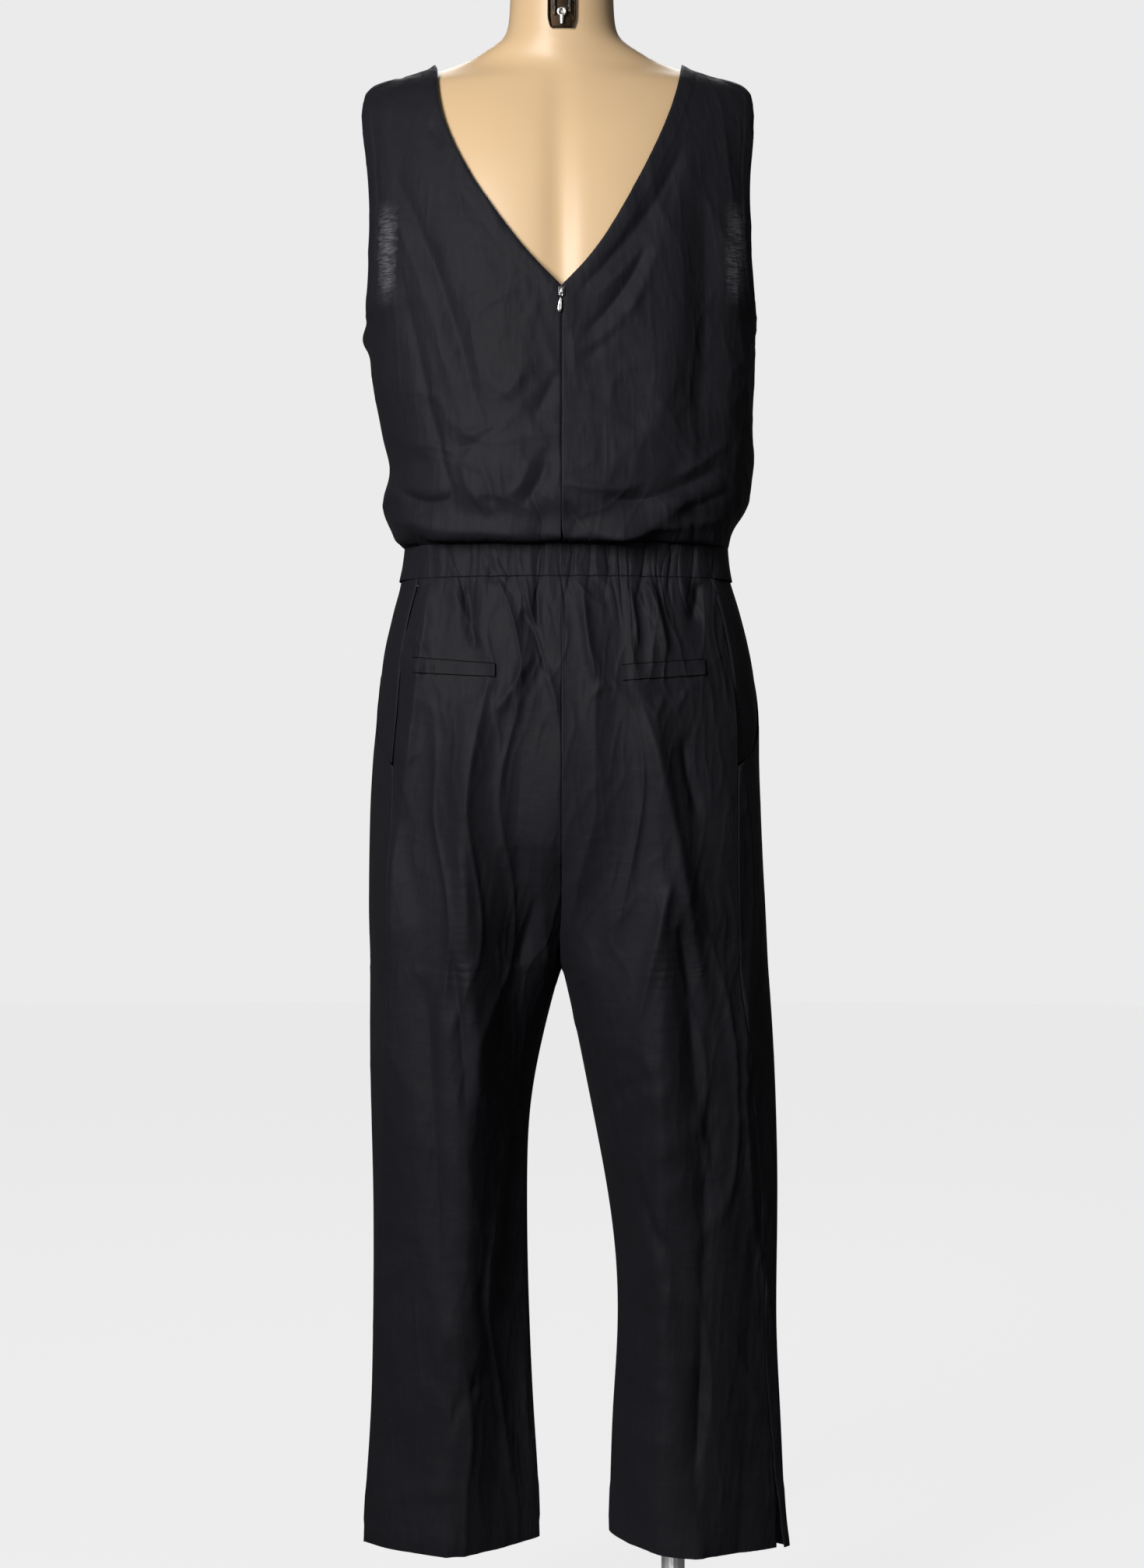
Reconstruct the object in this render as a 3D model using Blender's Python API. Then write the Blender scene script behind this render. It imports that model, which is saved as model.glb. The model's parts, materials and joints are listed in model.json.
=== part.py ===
"""A sleeveless jumpsuit, open in a deep V at the back, on a limbless dress form and its stand.

Metres. The floor is z = 0, +Z is up, +X is the wearer's left and +Y is behind the wearer.
The garment hangs from the form's shoulders. Its panels are thin walls that meet at seams,
and every wall is worked out from tables of half-widths and depths, then folded and gathered.
"""

import math
from collections import namedtuple

import bmesh
import bpy
import numpy as np
from mathutils import Matrix

# Driving dimensions -------------------------------------------------------------------

CLOTH = 0.0012  # woven cloth
BAND_WALL = 0.0030  # two layers of cloth round the elastic
SEAM_GAP = 0.0003

HEM_Z = 0.100
CROTCH_Z = 0.644
FORK_Z = 0.850  # where the hips start to part into legs
THIGH_Z = 0.500  # where the legs are round all the way
CROTCH_REACH = 0.07  # how far round the leg the crotch seam shapes it
BAND_FOOT_Z = 1.0092
BAND_TOP_Z = 1.0400
ARMHOLE_FOOT_Z = 1.2466
V_FOOT = 0.902  # the V's foot, as a share of the drop from shoulder line to armhole foot
SCOOP_FOOT = 0.406  # the front neckline's foot, as the same share
SHOULDER_RATIO = 0.179 / 0.186  # the right shoulder is drawn in by the way the cloth hangs

UPPER_BACK = 0.118  # depths of the bodice at the armhole foot
UPPER_FRONT = 0.122
UPPER_SQUARE = 2.4

POLE_X = -0.105  # the pole rises inside the right leg
POLE_RADIUS = 0.011
BASE_RADIUS = 0.190
BASE_THICK = 0.008
BASE_EDGE = 0.003  # how far the base plate's edges are eased
COLLAR_RADIUS = 0.024
COLLAR_FOOT = 0.006  # the collar's wide part, below its neck
COLLAR_HEIGHT = 0.030
NECK_RADIUS = 0.016  # the necks of the collar and the flange
FLANGE_RADIUS = 0.030
FLANGE_THICK = 0.006
FLANGE_HEIGHT = 0.020

ZIP_FOOT_Z = 0.891
ZIP_TAPE_HALF = 0.011
ZIP_TAPE_WALL = 0.0008
PULL_LENGTH = 0.0190
PULL_HALF = 0.0023
SLIDER_FOOT_Z = 1.2615
SLIDER_TALL = 0.0085

WELT_WALL = 0.0012
WELT_RAISE = 0.0007  # clear of the folds that cross it
BAND_SEAM_TURN = 62  # degrees round the waist to the band's side seams

FINE = 2  # the gathered rows have this many times the columns of the plain ones

# Sections -----------------------------------------------------------------------------
# Half-widths to the wearer's left and right, depths behind and in front of the side plane,
# and how square the section is: 2 is an ellipse.

Section = namedtuple("Section", "z left right back front square")

BODICE = (
    Section(1.0403, 0.1485, 0.1570, 0.1010, 0.0990, 2.3),
    Section(1.0445, 0.1536, 0.1580, 0.1070, 0.1040, 2.3),
    Section(1.0592, 0.1617, 0.1617, 0.1180, 0.1130, 2.3),
    Section(1.0739, 0.1683, 0.1735, 0.1230, 0.1170, 2.3),
    Section(1.0886, 0.1698, 0.1779, 0.1250, 0.1190, 2.3),
    Section(1.1033, 0.1627, 0.1793, 0.1250, 0.1200, 2.3),
    Section(1.1180, 0.1617, 0.1815, 0.1240, 0.1200, 2.3),
    Section(1.1327, 0.1668, 0.1801, 0.1230, 0.1200, 2.3),
    Section(1.1620, 0.1720, 0.1800, 0.1210, 0.1205, 2.35),
    Section(1.1915, 0.1786, 0.1815, 0.1195, 0.1210, 2.4),
    Section(1.2356, 0.1815, 0.1823, 0.1182, 0.1218, 2.4),
    Section(1.2466, 0.1820, 0.1820, UPPER_BACK, UPPER_FRONT, UPPER_SQUARE),
)

BAND = (
    Section(BAND_FOOT_Z, 0.1536, 0.1610, 0.1010, 0.0990, 2.3),
    Section(1.0246, 0.1500, 0.1580, 0.0985, 0.0970, 2.3),
    Section(BAND_TOP_Z, 0.1485, 0.1570, 0.1010, 0.0990, 2.3),
)

TROUSERS = (
    Section(1.0089, 0.1536, 0.1610, 0.1010, 0.0990, 2.3),
    Section(0.9974, 0.1558, 0.1646, 0.1040, 0.1010, 2.3),
    Section(0.9857, 0.1595, 0.1683, 0.1070, 0.1025, 2.3),
    Section(0.9636, 0.1646, 0.1742, 0.1110, 0.1045, 2.3),
    Section(0.9416, 0.1698, 0.1793, 0.1135, 0.1055, 2.3),
    Section(0.9195, 0.1720, 0.1830, 0.1150, 0.1060, 2.3),
    Section(0.8754, 0.1757, 0.1867, 0.1165, 0.1060, 2.3),
    Section(0.8313, 0.1808, 0.1880, 0.1170, 0.1060, 2.3),
    Section(0.7870, 0.1830, 0.1900, 0.1160, 0.1060, 2.3),
    Section(0.7430, 0.1838, 0.1918, 0.1145, 0.1050, 2.3),
    Section(0.6990, 0.1845, 0.1948, 0.1125, 0.1040, 2.3),
    Section(0.6549, 0.1830, 0.1970, 0.1100, 0.1020, 2.15),
    Section(0.5888, 0.1838, 0.2020, 0.1020, 0.0960, 1.95),
    Section(0.5006, 0.1820, 0.2056, 0.0920, 0.0880, 1.7),
    Section(0.4124, 0.1795, 0.2066, 0.0840, 0.0810, 1.5),
    Section(0.3242, 0.1800, 0.2036, 0.0770, 0.0750, 1.38),
    Section(0.2360, 0.1812, 0.2085, 0.0720, 0.0710, 1.3),
    Section(0.1478, 0.1865, 0.2115, 0.0690, 0.0680, 1.24),
    Section(0.1000, 0.1872, 0.2110, 0.0680, 0.0670, 1.2),
)

# The inner edge of each leg, and where its side seam runs: 0 is the centre back or the
# inseam, 0.5 is the leg's outermost line, 1 is the centre front or the inseam again.
Leg = namedtuple("Leg", "z left right left_seam right_seam")

LEGS = (
    Leg(1.0089, 0.0002, 0.0002, 0.333, 0.333),
    Leg(0.8500, 0.0002, 0.0002, 0.333, 0.333),
    Leg(0.6700, 0.0002, 0.0002, 0.360, 0.350),
    Leg(0.6500, 0.0004, 0.0004, 0.366, 0.353),
    Leg(0.6329, 0.0050, 0.0044, 0.372, 0.356),
    Leg(0.5888, 0.0160, 0.0130, 0.385, 0.364),
    Leg(0.5447, 0.0270, 0.0235, 0.400, 0.372),
    Leg(0.5006, 0.0323, 0.0309, 0.412, 0.380),
    Leg(0.4124, 0.0330, 0.0478, 0.430, 0.392),
    Leg(0.3242, 0.0309, 0.0544, 0.444, 0.400),
    Leg(0.2360, 0.0272, 0.0478, 0.458, 0.408),
    Leg(0.1478, 0.0213, 0.0456, 0.474, 0.422),
    Leg(0.1000, 0.0206, 0.0441, 0.480, 0.428),
)

# Each leg's side slit: the front panel's corner swings out past the back panel's.
SLIT_TOP_Z = 0.155
SLIT_REACH = 0.09  # how far round the leg the corner is bent
SLIT_SWING = {"left": 0.001, "right": 0.008}

# How far above HEM_Z the hem hangs at the inseam, mid back, side and mid front of a leg.
Hem = namedtuple("Hem", "inner back side front")

HEM_LIFT = {"left": Hem(0.009, 0.004, 0.004, 0.002), "right": Hem(0.015, 0.0, 0.0, 0.003)}
HEM_LIFT_REACH = 0.100

# The V and the armholes, by the share of the drop from the shoulder line to the armhole
# foot. turn is the angle round the body at which the armhole is cut, in degrees.
Vee = namedtuple("Vee", "share left right")
Armhole = namedtuple("Armhole", "share left right turn")

VEE = (
    Vee(0.000, 0.1165, 0.1125),
    Vee(0.100, 0.1160, 0.1085),
    Vee(0.237, 0.1110, 0.0990),
    Vee(0.353, 0.1000, 0.0880),
    Vee(0.474, 0.0856, 0.0740),
    Vee(0.591, 0.0665, 0.0595),
    Vee(0.702, 0.0467, 0.0430),
    Vee(0.815, 0.0240, 0.0235),
    Vee(0.871, 0.0114, 0.0096),
    Vee(V_FOOT, 0.0, 0.0),
)

ARMHOLE = (
    Armhole(0.000, 0.1860, 0.1790, 76.0),
    Armhole(0.063, 0.1880, 0.1805, 74.0),
    Armhole(0.128, 0.1880, 0.1800, 73.0),
    Armhole(0.260, 0.1850, 0.1785, 72.0),
    Armhole(0.457, 0.1803, 0.1750, 71.5),
    Armhole(0.720, 0.1795, 0.1770, 72.0),
    Armhole(0.860, 0.1808, 0.1792, 74.0),
    Armhole(0.940, 0.1828, 0.1815, 78.0),
    Armhole(0.980, 0.1825, 0.1820, 83.0),
    Armhole(1.000, 0.1820, 0.1820, 90.0),
)

# The shoulder line: how high it runs at each distance from the middle.
Shoulder = namedtuple("Shoulder", "x z")

SHOULDER = (
    Shoulder(0.000, 1.5050),
    Shoulder(0.060, 1.5030),
    Shoulder(0.090, 1.4990),
    Shoulder(0.1165, 1.4945),
    Shoulder(0.147, 1.4855),
    Shoulder(0.170, 1.4800),
    Shoulder(0.178, 1.4765),
    Shoulder(0.186, 1.4680),
    Shoulder(0.192, 1.4580),
)

Form = namedtuple("Form", "z width back front square")

FORM = (
    Form(0.7450, 0.1380, 0.0780, 0.0740, 2.2),
    Form(0.7480, 0.1490, 0.0870, 0.0820, 2.2),
    Form(0.7560, 0.1550, 0.0920, 0.0860, 2.2),
    Form(0.7800, 0.1580, 0.0940, 0.0880, 2.2),
    Form(0.8500, 0.1600, 0.0970, 0.0900, 2.2),
    Form(0.9200, 0.1530, 0.0950, 0.0880, 2.2),
    Form(0.9800, 0.1370, 0.0880, 0.0840, 2.2),
    Form(1.0300, 0.1280, 0.0840, 0.0820, 2.2),
    Form(1.0900, 0.1310, 0.0870, 0.0880, 2.2),
    Form(1.1600, 0.1410, 0.0960, 0.1000, 2.3),
    Form(1.2200, 0.1490, 0.1060, 0.1090, 2.4),
    Form(1.2800, 0.1550, 0.1110, 0.1130, 2.5),
    Form(1.3400, 0.1570, 0.1045, 0.1060, 2.5),
    Form(1.3900, 0.1600, 0.0945, 0.0940, 2.5),
    Form(1.4300, 0.1670, 0.0800, 0.0790, 2.2),
    Form(1.4550, 0.1735, 0.0665, 0.0650, 1.9),
    Form(1.4700, 0.1740, 0.0590, 0.0570, 1.6),
    Form(1.4785, 0.1626, 0.0540, 0.0520, 1.5),
    Form(1.4860, 0.1338, 0.0510, 0.0490, 1.35),
    Form(1.4925, 0.1120, 0.0490, 0.0480, 1.3),
    Form(1.4995, 0.0910, 0.0480, 0.0470, 1.4),
    Form(1.5075, 0.0770, 0.0475, 0.0470, 1.6),
    Form(1.5150, 0.0640, 0.0470, 0.0465, 1.8),
    Form(1.5220, 0.0545, 0.0465, 0.0460, 1.95),
    Form(1.5370, 0.0490, 0.0465, 0.0460, 2.0),
    Form(1.6000, 0.0490, 0.0465, 0.0460, 2.0),
)
FORM_COLUMNS = 24
SPINE_DEPTH = 0.004
SPINE_HALF = 0.020
SPINE_FOOT_Z, SPINE_TOP_Z = 1.10, 1.48

# Folds --------------------------------------------------------------------------------
# Millimetres. A fold stands out by lift, or sinks in where lift is negative, and fades over
# reach to each side. It runs in a soft arc from its top through its middle to its foot.

Fold = namedtuple("Fold", "lift reach top_x top_z mid_x mid_z foot_x foot_z")

BODICE_BACK_FOLDS = (
    Fold(-5, 13, 157, 1385, 112, 1274, 69, 1129),
    Fold(-4, 10, 146, 1284, 119, 1180, 107, 1124),
    Fold(-3, 12, -102, 1372, -77, 1327, -51, 1289),
    Fold(-4, 9, -77, 1310, -56, 1272, -19, 1224),
    Fold(-5, 20, -130, 1356, -133, 1233, -126, 1134),
    Fold(-3, 9, 5, 1193, 13, 1172, 28, 1150),
    Fold(3, 9, 26, 1206, 36, 1189, 48, 1175),
    Fold(-4, 8, 145, 1099, 128, 1072, 89, 1078),
    Fold(3, 6, 143, 1072, 125, 1060, 104, 1077),
    Fold(3, 8, 77, 1104, 56, 1090, 45, 1104),
    Fold(-5, 8, 10, 1117, 20, 1099, 33, 1077),
    Fold(6, 9, -36, 1056, -84, 1068, -115, 1080),
    Fold(-5, 9, -56, 1076, -90, 1088, -139, 1107),
    Fold(3, 8, -5, 1084, -27, 1081, -51, 1076),
)

BODICE_FRONT_FOLDS = (
    Fold(-5, 13, -150, 1375, -112, 1270, -75, 1140),
    Fold(-4, 12, 146, 1350, 112, 1250, 92, 1150),
    Fold(-4, 12, 60, 1360, 22, 1300, -20, 1240),
    Fold(-4, 10, -70, 1290, -40, 1230, -22, 1170),
    Fold(4, 14, -20, 1360, 10, 1290, 30, 1180),
    Fold(-4, 8, -145, 1100, -118, 1074, -80, 1080),
    Fold(4, 7, -140, 1068, -110, 1062, -85, 1076),
    Fold(5, 9, 30, 1058, 75, 1066, 118, 1080),
    Fold(-5, 9, 20, 1078, 66, 1084, 125, 1104),
    Fold(-4, 9, -60, 1112, -35, 1092, -15, 1072),
)

TROUSER_BACK_FOLDS = (
    Fold(5, 13, 122, 1006, 133, 916, 150, 783),
    Fold(4, 16, 150, 783, 155, 720, 157, 620),
    Fold(-4, 9, 87, 1002, 83, 969, 79, 935),
    Fold(-4, 9, 38, 985, 25, 954, 13, 915),
    Fold(4, 9, 26, 938, 43, 909, 60, 880),
    Fold(3, 8, -20, 1003, -23, 959, -32, 905),
    Fold(4, 8, -76, 1006, -89, 972, -99, 932),
    Fold(-4, 9, -127, 1006, -126, 987, -122, 962),
    Fold(5, 13, -73, 900, -101, 781, -137, 590),
    Fold(-4, 12, -112, 865, -122, 812, -140, 740),
    Fold(4, 10, -101, 726, -89, 680, -68, 575),
    Fold(5, 18, 76, 905, 90, 790, 86, 640),
    Fold(-4, 9, 100, 670, 91, 590, 89, 510),
    Fold(-4, 16, 130, 650, 120, 516, 112, 345),
    Fold(-5, 12, -105, 692, -115, 630, -127, 510),
    Fold(-4, 9, -45, 525, -68, 543, -105, 556),
    Fold(-4, 10, -80, 436, -92, 400, -132, 338),
    Fold(3, 9, -126, 510, -133, 482, -141, 448),
    Fold(-3, 8, 62, 271, 86, 258, 106, 216),
    Fold(-3, 14, -129, 290, -124, 225, -121, 160),
    Fold(-3, 10, 78, 362, 71, 319, 66, 278),
    Fold(-4, 12, 20, 735, 29, 690, 38, 640),
    Fold(-4, 12, -20, 740, -30, 690, -44, 640),
)

TROUSER_FRONT_FOLDS = (
    Fold(5, 13, 112, 1000, 116, 900, 122, 760),
    Fold(-4, 9, 70, 1002, 64, 965, 58, 925),
    Fold(-4, 10, -52, 1000, -56, 955, -66, 905),
    Fold(4, 10, -104, 1004, -112, 950, -120, 880),
    Fold(-4, 12, 24, 735, 55, 765, 100, 800),
    Fold(-4, 12, -24, 730, -58, 762, -105, 790),
    Fold(4, 12, 20, 690, 60, 700, 110, 735),
    Fold(5, 14, 94, 700, 98, 560, 96, 400),
    Fold(-4, 14, 130, 640, 122, 500, 118, 350),
    Fold(5, 14, -112, 720, -120, 590, -124, 430),
    Fold(-4, 12, -84, 640, -88, 540, -92, 430),
    Fold(-4, 10, -150, 560, -146, 480, -138, 390),
    Fold(-3, 9, 60, 300, 84, 284, 112, 246),
    Fold(-3, 10, -76, 330, -100, 312, -136, 270),
)

# Gathers at the elastic: how deep each one is and how wide, where it crosses the band, and
# how far it runs on up the bodice and down the trousers.
Gather = namedtuple("Gather", "x depth reach up down")

BACK_GATHERS = (
    Gather(137, 1.6, 5, 12, 24),
    Gather(121, 2.0, 6, 14, 44),
    Gather(104, 1.6, 5, 9, 22),
    Gather(87, 2.4, 6, 16, 48),
    Gather(72, 1.4, 4, 8, 20),
    Gather(61, 1.8, 5, 12, 30),
    Gather(49, 1.8, 5, 14, 24),
    Gather(35, 1.4, 4, 9, 36),
    Gather(20, 2.6, 6, 20, 62),
    Gather(6, 1.4, 4, 10, 20),
    Gather(-8, 2.6, 6, 22, 46),
    Gather(-27, 1.8, 5, 10, 26),
    Gather(-42, 2.2, 5, 14, 34),
    Gather(-56, 1.4, 5, 10, 22),
    Gather(-73, 2.6, 6, 20, 50),
    Gather(-88, 1.4, 5, 9, 24),
    Gather(-103, 1.8, 5, 12, 38),
    Gather(-121, 2.4, 6, 16, 44),
    Gather(-138, 1.6, 5, 12, 26),
)

FRONT_GATHERS = (
    Gather(132, 1.8, 6, 12, 34),
    Gather(112, 2.2, 6, 18, 46),
    Gather(93, 1.6, 5, 10, 22),
    Gather(77, 2.2, 6, 14, 40),
    Gather(60, 1.6, 5, 10, 24),
    Gather(44, 2.4, 6, 20, 52),
    Gather(27, 1.6, 5, 10, 26),
    Gather(9, 2.0, 5, 14, 34),
    Gather(-11, 1.6, 5, 10, 22),
    Gather(-28, 2.4, 6, 18, 48),
    Gather(-46, 1.6, 5, 10, 28),
    Gather(-62, 2.2, 6, 14, 40),
    Gather(-80, 1.6, 5, 12, 24),
    Gather(-97, 2.4, 6, 18, 44),
    Gather(-116, 1.8, 5, 12, 30),
    Gather(-135, 2.0, 6, 14, 38),
)

# The pocket welts, by their four corners on the back, in millimetres.
Welt = namedtuple("Welt", "side in_x in_top in_foot out_x out_top out_foot")

WELTS = (
    Welt("left", 60, 927.5, 916.5, 133, 934.0, 921.0),
    Welt("right", 55, 926.5, 913.0, 131, 932.5, 919.0),
)

# The side pocket's mouth: it leaves the band this far round the front panel and curves back
# to the side seam.
POCKET_FOOT_Z = 0.835
POCKET_MOUTH = 0.42
POCKET_STEP = 0.0012
POCKET_TIP = 0.003
POCKET_CLEAR = 0.001


# Smooth curves through tables -----------------------------------------------------------


def smooth(places, values):
    """A smooth curve through the points, with no bumps between them and level past its ends."""
    order = np.argsort(places)
    xs, ys = np.array(places, float)[order], np.array(values, float)[order]
    slopes = np.gradient(ys, xs)
    rises = np.diff(ys) / np.diff(xs)
    limit = 3 * np.minimum(np.abs(rises[:-1]), np.abs(rises[1:])) * (rises[:-1] * rises[1:] > 0)
    slopes[1:-1] = np.clip(slopes[1:-1], -limit, limit)

    def at(x):
        x = np.clip(x, xs[0], xs[-1])
        i = np.clip(np.searchsorted(xs, x) - 1, 0, len(xs) - 2)
        step = xs[i + 1] - xs[i]
        t = (x - xs[i]) / step
        rise = (3 - 2 * t) * t * t
        bend = step * t * (1 - t) * (slopes[i] * (1 - t) - slopes[i + 1] * t)
        return ys[i] + (ys[i + 1] - ys[i]) * rise + bend

    return at


def curves(table, key):
    """One smooth curve for each column of a table, by the column's name."""
    places = [getattr(row, key) for row in table]
    names = [name for name in table[0]._fields if name != key]
    return {name: smooth(places, [getattr(row, name) for row in table]) for name in names}


bodice = curves(BODICE, "z")
band = curves(BAND, "z")
trousers = curves(TROUSERS, "z")
legs = curves(LEGS, "z")
vee = curves(VEE, "share")
armhole = curves(ARMHOLE, "share")
shoulder = curves(SHOULDER, "x")["z"]
form = curves(FORM, "z")

SIGN = {"left": 1, "right": -1}


# Surfaces -------------------------------------------------------------------------------
# Each gives points of the unfolded cloth, from a place round the body and a height.


def roundness(across, square):
    """How deep a section is at a share of its half-width, as a share of its depth."""
    return np.maximum(1 - np.abs(across) ** square, 0) ** (1 / square)


def hoop(section, side, turn, z):
    """A point of a closed section. turn is 0 at the centre back and pi at the centre front."""
    across = np.sin(turn)
    depth = np.where(np.cos(turn) >= 0, section["back"](z), -section["front"](z))
    x = SIGN[side] * section[side](z) * across
    return x, depth * roundness(across, section["square"](z))


def band_surface(side):
    def at(turn, z):
        x, y = hoop(band, side, turn, z)
        return np.stack([x, y, z + 0 * x], -1)

    return at


def bodice_surface(side):
    """Below the armhole, climb runs from -1 to 0. Above it, climb runs on to 1 at the shoulder."""
    reach = 1 if side == "left" else SHOULDER_RATIO

    def at(turn, climb):
        z_low = ARMHOLE_FOOT_Z + np.minimum(climb, 0) * (ARMHOLE_FOOT_Z - BODICE[0].z)
        x_low, y_low = hoop(bodice, side, turn, z_low)
        lean = (1 - np.maximum(climb, 0)) * math.pi / 2
        share = 1 - np.cos(lean)
        across = np.sin(turn)
        x = armhole[side](share) / np.sin(np.radians(armhole["turn"](share))) * across
        line = shoulder(np.abs(x) / reach)
        depth = np.where(np.cos(turn) >= 0, UPPER_BACK, -UPPER_FRONT)
        y = depth * roundness(across, UPPER_SQUARE) * np.sin(lean)
        z = line - (line - ARMHOLE_FOOT_Z) * share
        low = climb < 0
        points = np.where(low, x_low, SIGN[side] * x), np.where(low, y_low, y)
        return np.stack([*points, np.where(low, z_low, z)], -1)

    return at


def hem_lift(side, round_leg, z):
    """How far the cloth is drawn up near the hem, round one leg."""
    lift = HEM_LIFT[side]
    stops = [0, 0.25, 0.5, 0.75, 1]
    values = [lift.inner, lift.back, lift.side, lift.front, lift.inner]
    near = np.clip(1 - (z - HEM_Z) / HEM_LIFT_REACH, 0, 1)
    return smooth(stops, values)(round_leg % 1) * near


def trouser_surface(side):
    """round_leg runs from 0 at the centre back or inseam to 1 at the centre front or inseam."""

    def at(round_leg, z):
        hip_x, hip_y = hoop(trousers, side, math.pi * round_leg, z)
        outer, inner = trousers[side](z), legs[side](z)
        along = np.cos(2 * math.pi * round_leg)
        leg_x = SIGN[side] * ((outer + inner) / 2 - (outer - inner) / 2 * along)
        behind = np.sin(2 * math.pi * round_leg) >= 0
        depth = np.where(behind, trousers["back"](z), -trousers["front"](z))
        leg_y = depth * roundness(along, trousers["square"](z))
        fork = np.clip((FORK_Z - z) / (FORK_Z - CROTCH_Z), 0, 1)
        thigh = np.clip((FORK_Z - z) / (FORK_Z - THIGH_Z), 0, 1)
        from_seam = np.abs(round_leg - np.round(round_leg))
        at_seam = np.exp(-((from_seam / CROTCH_REACH) ** 2))
        gently = thigh * thigh * (3 - 2 * thigh)
        parted = gently + (1 - np.sqrt(1 - fork**2) - gently) * at_seam
        x = hip_x + (leg_x - hip_x) * parted
        y = hip_y + (leg_y - hip_y) * parted
        return np.stack([x, y, z + hem_lift(side, round_leg, z)], -1)

    return at


# Folds and gathers ----------------------------------------------------------------------

ARC_STEPS = 14
SIDE_FADE = 0.030


def folds_height(folds, x, z):
    """The folds' height, in millimetres, at points seen from straight behind or in front."""
    height = 0 * x
    t = np.linspace(0, 1, ARC_STEPS)
    for fold in folds:
        bend_x = 2 * fold.mid_x - (fold.top_x + fold.foot_x) / 2
        bend_z = 2 * fold.mid_z - (fold.top_z + fold.foot_z) / 2
        arc_x = (1 - t) ** 2 * fold.top_x + 2 * t * (1 - t) * bend_x + t**2 * fold.foot_x
        arc_z = (1 - t) ** 2 * fold.top_z + 2 * t * (1 - t) * bend_z + t**2 * fold.foot_z
        away = np.hypot(x[..., None] * 1000 - arc_x, z[..., None] * 1000 - arc_z)
        nearest = away.argmin(-1)
        fade = 1 - (2 * t[nearest] - 1) ** 4 * 0.8
        height += fold.lift * fade * np.exp(-((away.min(-1) / fold.reach) ** 2))
    return height


def gathers_height(gathers, x, z):
    height = 0 * x
    above = np.maximum(z - BAND_TOP_Z, 0) * 1000
    below = np.maximum(BAND_FOOT_Z - z, 0) * 1000
    for gather in gathers:
        fade = np.exp(-((above / gather.up) ** 2) - (below / gather.down) ** 2)
        height -= gather.depth * fade * np.exp(-(((x * 1000 - gather.x) / gather.reach) ** 2))
    return height


def relief(points, back_folds, front_folds):
    """How far folds and gathers lift the cloth out of its plain surface, in metres."""
    x, y, z = points[..., 0], points[..., 1], points[..., 2]
    back = folds_height(back_folds, x, z) + gathers_height(BACK_GATHERS, x, z)
    front = folds_height(front_folds, x, z) + gathers_height(FRONT_GATHERS, x, z)
    side = np.clip(np.abs(y) / SIDE_FADE, 0, 1)
    return np.where(y >= 0, back, front) * side * side * (3 - 2 * side) / 1000


def outward(surface, side, u, v):
    """The unit direction out of the cloth."""
    step = 1e-4
    along = surface(u + step, v) - surface(u - step, v)
    up = surface(u, v + step) - surface(u, v - step)
    normal = -SIGN[side] * np.cross(along, up)
    return normal / np.linalg.norm(normal, axis=-1, keepdims=True)


def folded(surface, side, back_folds, front_folds):
    def at(u, v):
        points = surface(u, v)
        lift = relief(points, back_folds, front_folds)
        return points + lift[..., None] * outward(surface, side, u, v)

    return at


BODICE_CLOTH = {
    side: folded(bodice_surface(side), side, BODICE_BACK_FOLDS, BODICE_FRONT_FOLDS)
    for side in SIGN
}
BAND_CLOTH = {side: folded(band_surface(side), side, (), ()) for side in SIGN}
TROUSER_CLOTH = {
    side: folded(trouser_surface(side), side, TROUSER_BACK_FOLDS, TROUSER_FRONT_FOLDS)
    for side in SIGN
}


# Solids ---------------------------------------------------------------------------------


def material(name, colour, roughness, metallic=0.0, coat=0.0):
    made = bpy.data.materials.new(name)
    made.use_nodes = True
    shader = made.node_tree.nodes["Principled BSDF"]
    shader.inputs["Base Color"].default_value = (*colour, 1)
    shader.inputs["Roughness"].default_value = roughness
    shader.inputs["Metallic"].default_value = metallic
    shader.inputs["Coat Weight"].default_value = coat
    return made


def finish(name, bm, made_of):
    """Turns a closed bmesh into the named object, with its faces pointing out."""
    bmesh.ops.recalc_face_normals(bm, faces=bm.faces)
    mesh = bpy.data.meshes.new(name)
    bm.to_mesh(mesh)
    bm.free()
    mesh.shade_smooth()
    mesh.set_sharp_from_angle(angle=math.radians(50))
    mesh.materials.append(made_of)
    obj = bpy.data.objects.new(name, mesh)
    bpy.context.scene.collection.objects.link(obj)
    return obj


def strip(bm, low, high):
    """Faces between two rows of vertices, one of which may have twice the cells."""
    if len(low) == len(high):
        for i in range(len(low) - 1):
            bm.faces.new((low[i], low[i + 1], high[i + 1], high[i]))
        return
    fine, coarse = (low, high) if len(low) > len(high) else (high, low)
    for i in range(len(coarse) - 1):
        start, middle, end = fine[FINE * i : FINE * i + 3]
        for face in (
            (coarse[i], start, middle),
            (coarse[i], middle, coarse[i + 1]),
            (coarse[i + 1], middle, end),
        ):
            bm.faces.new(face if fine is low else face[::-1])


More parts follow.
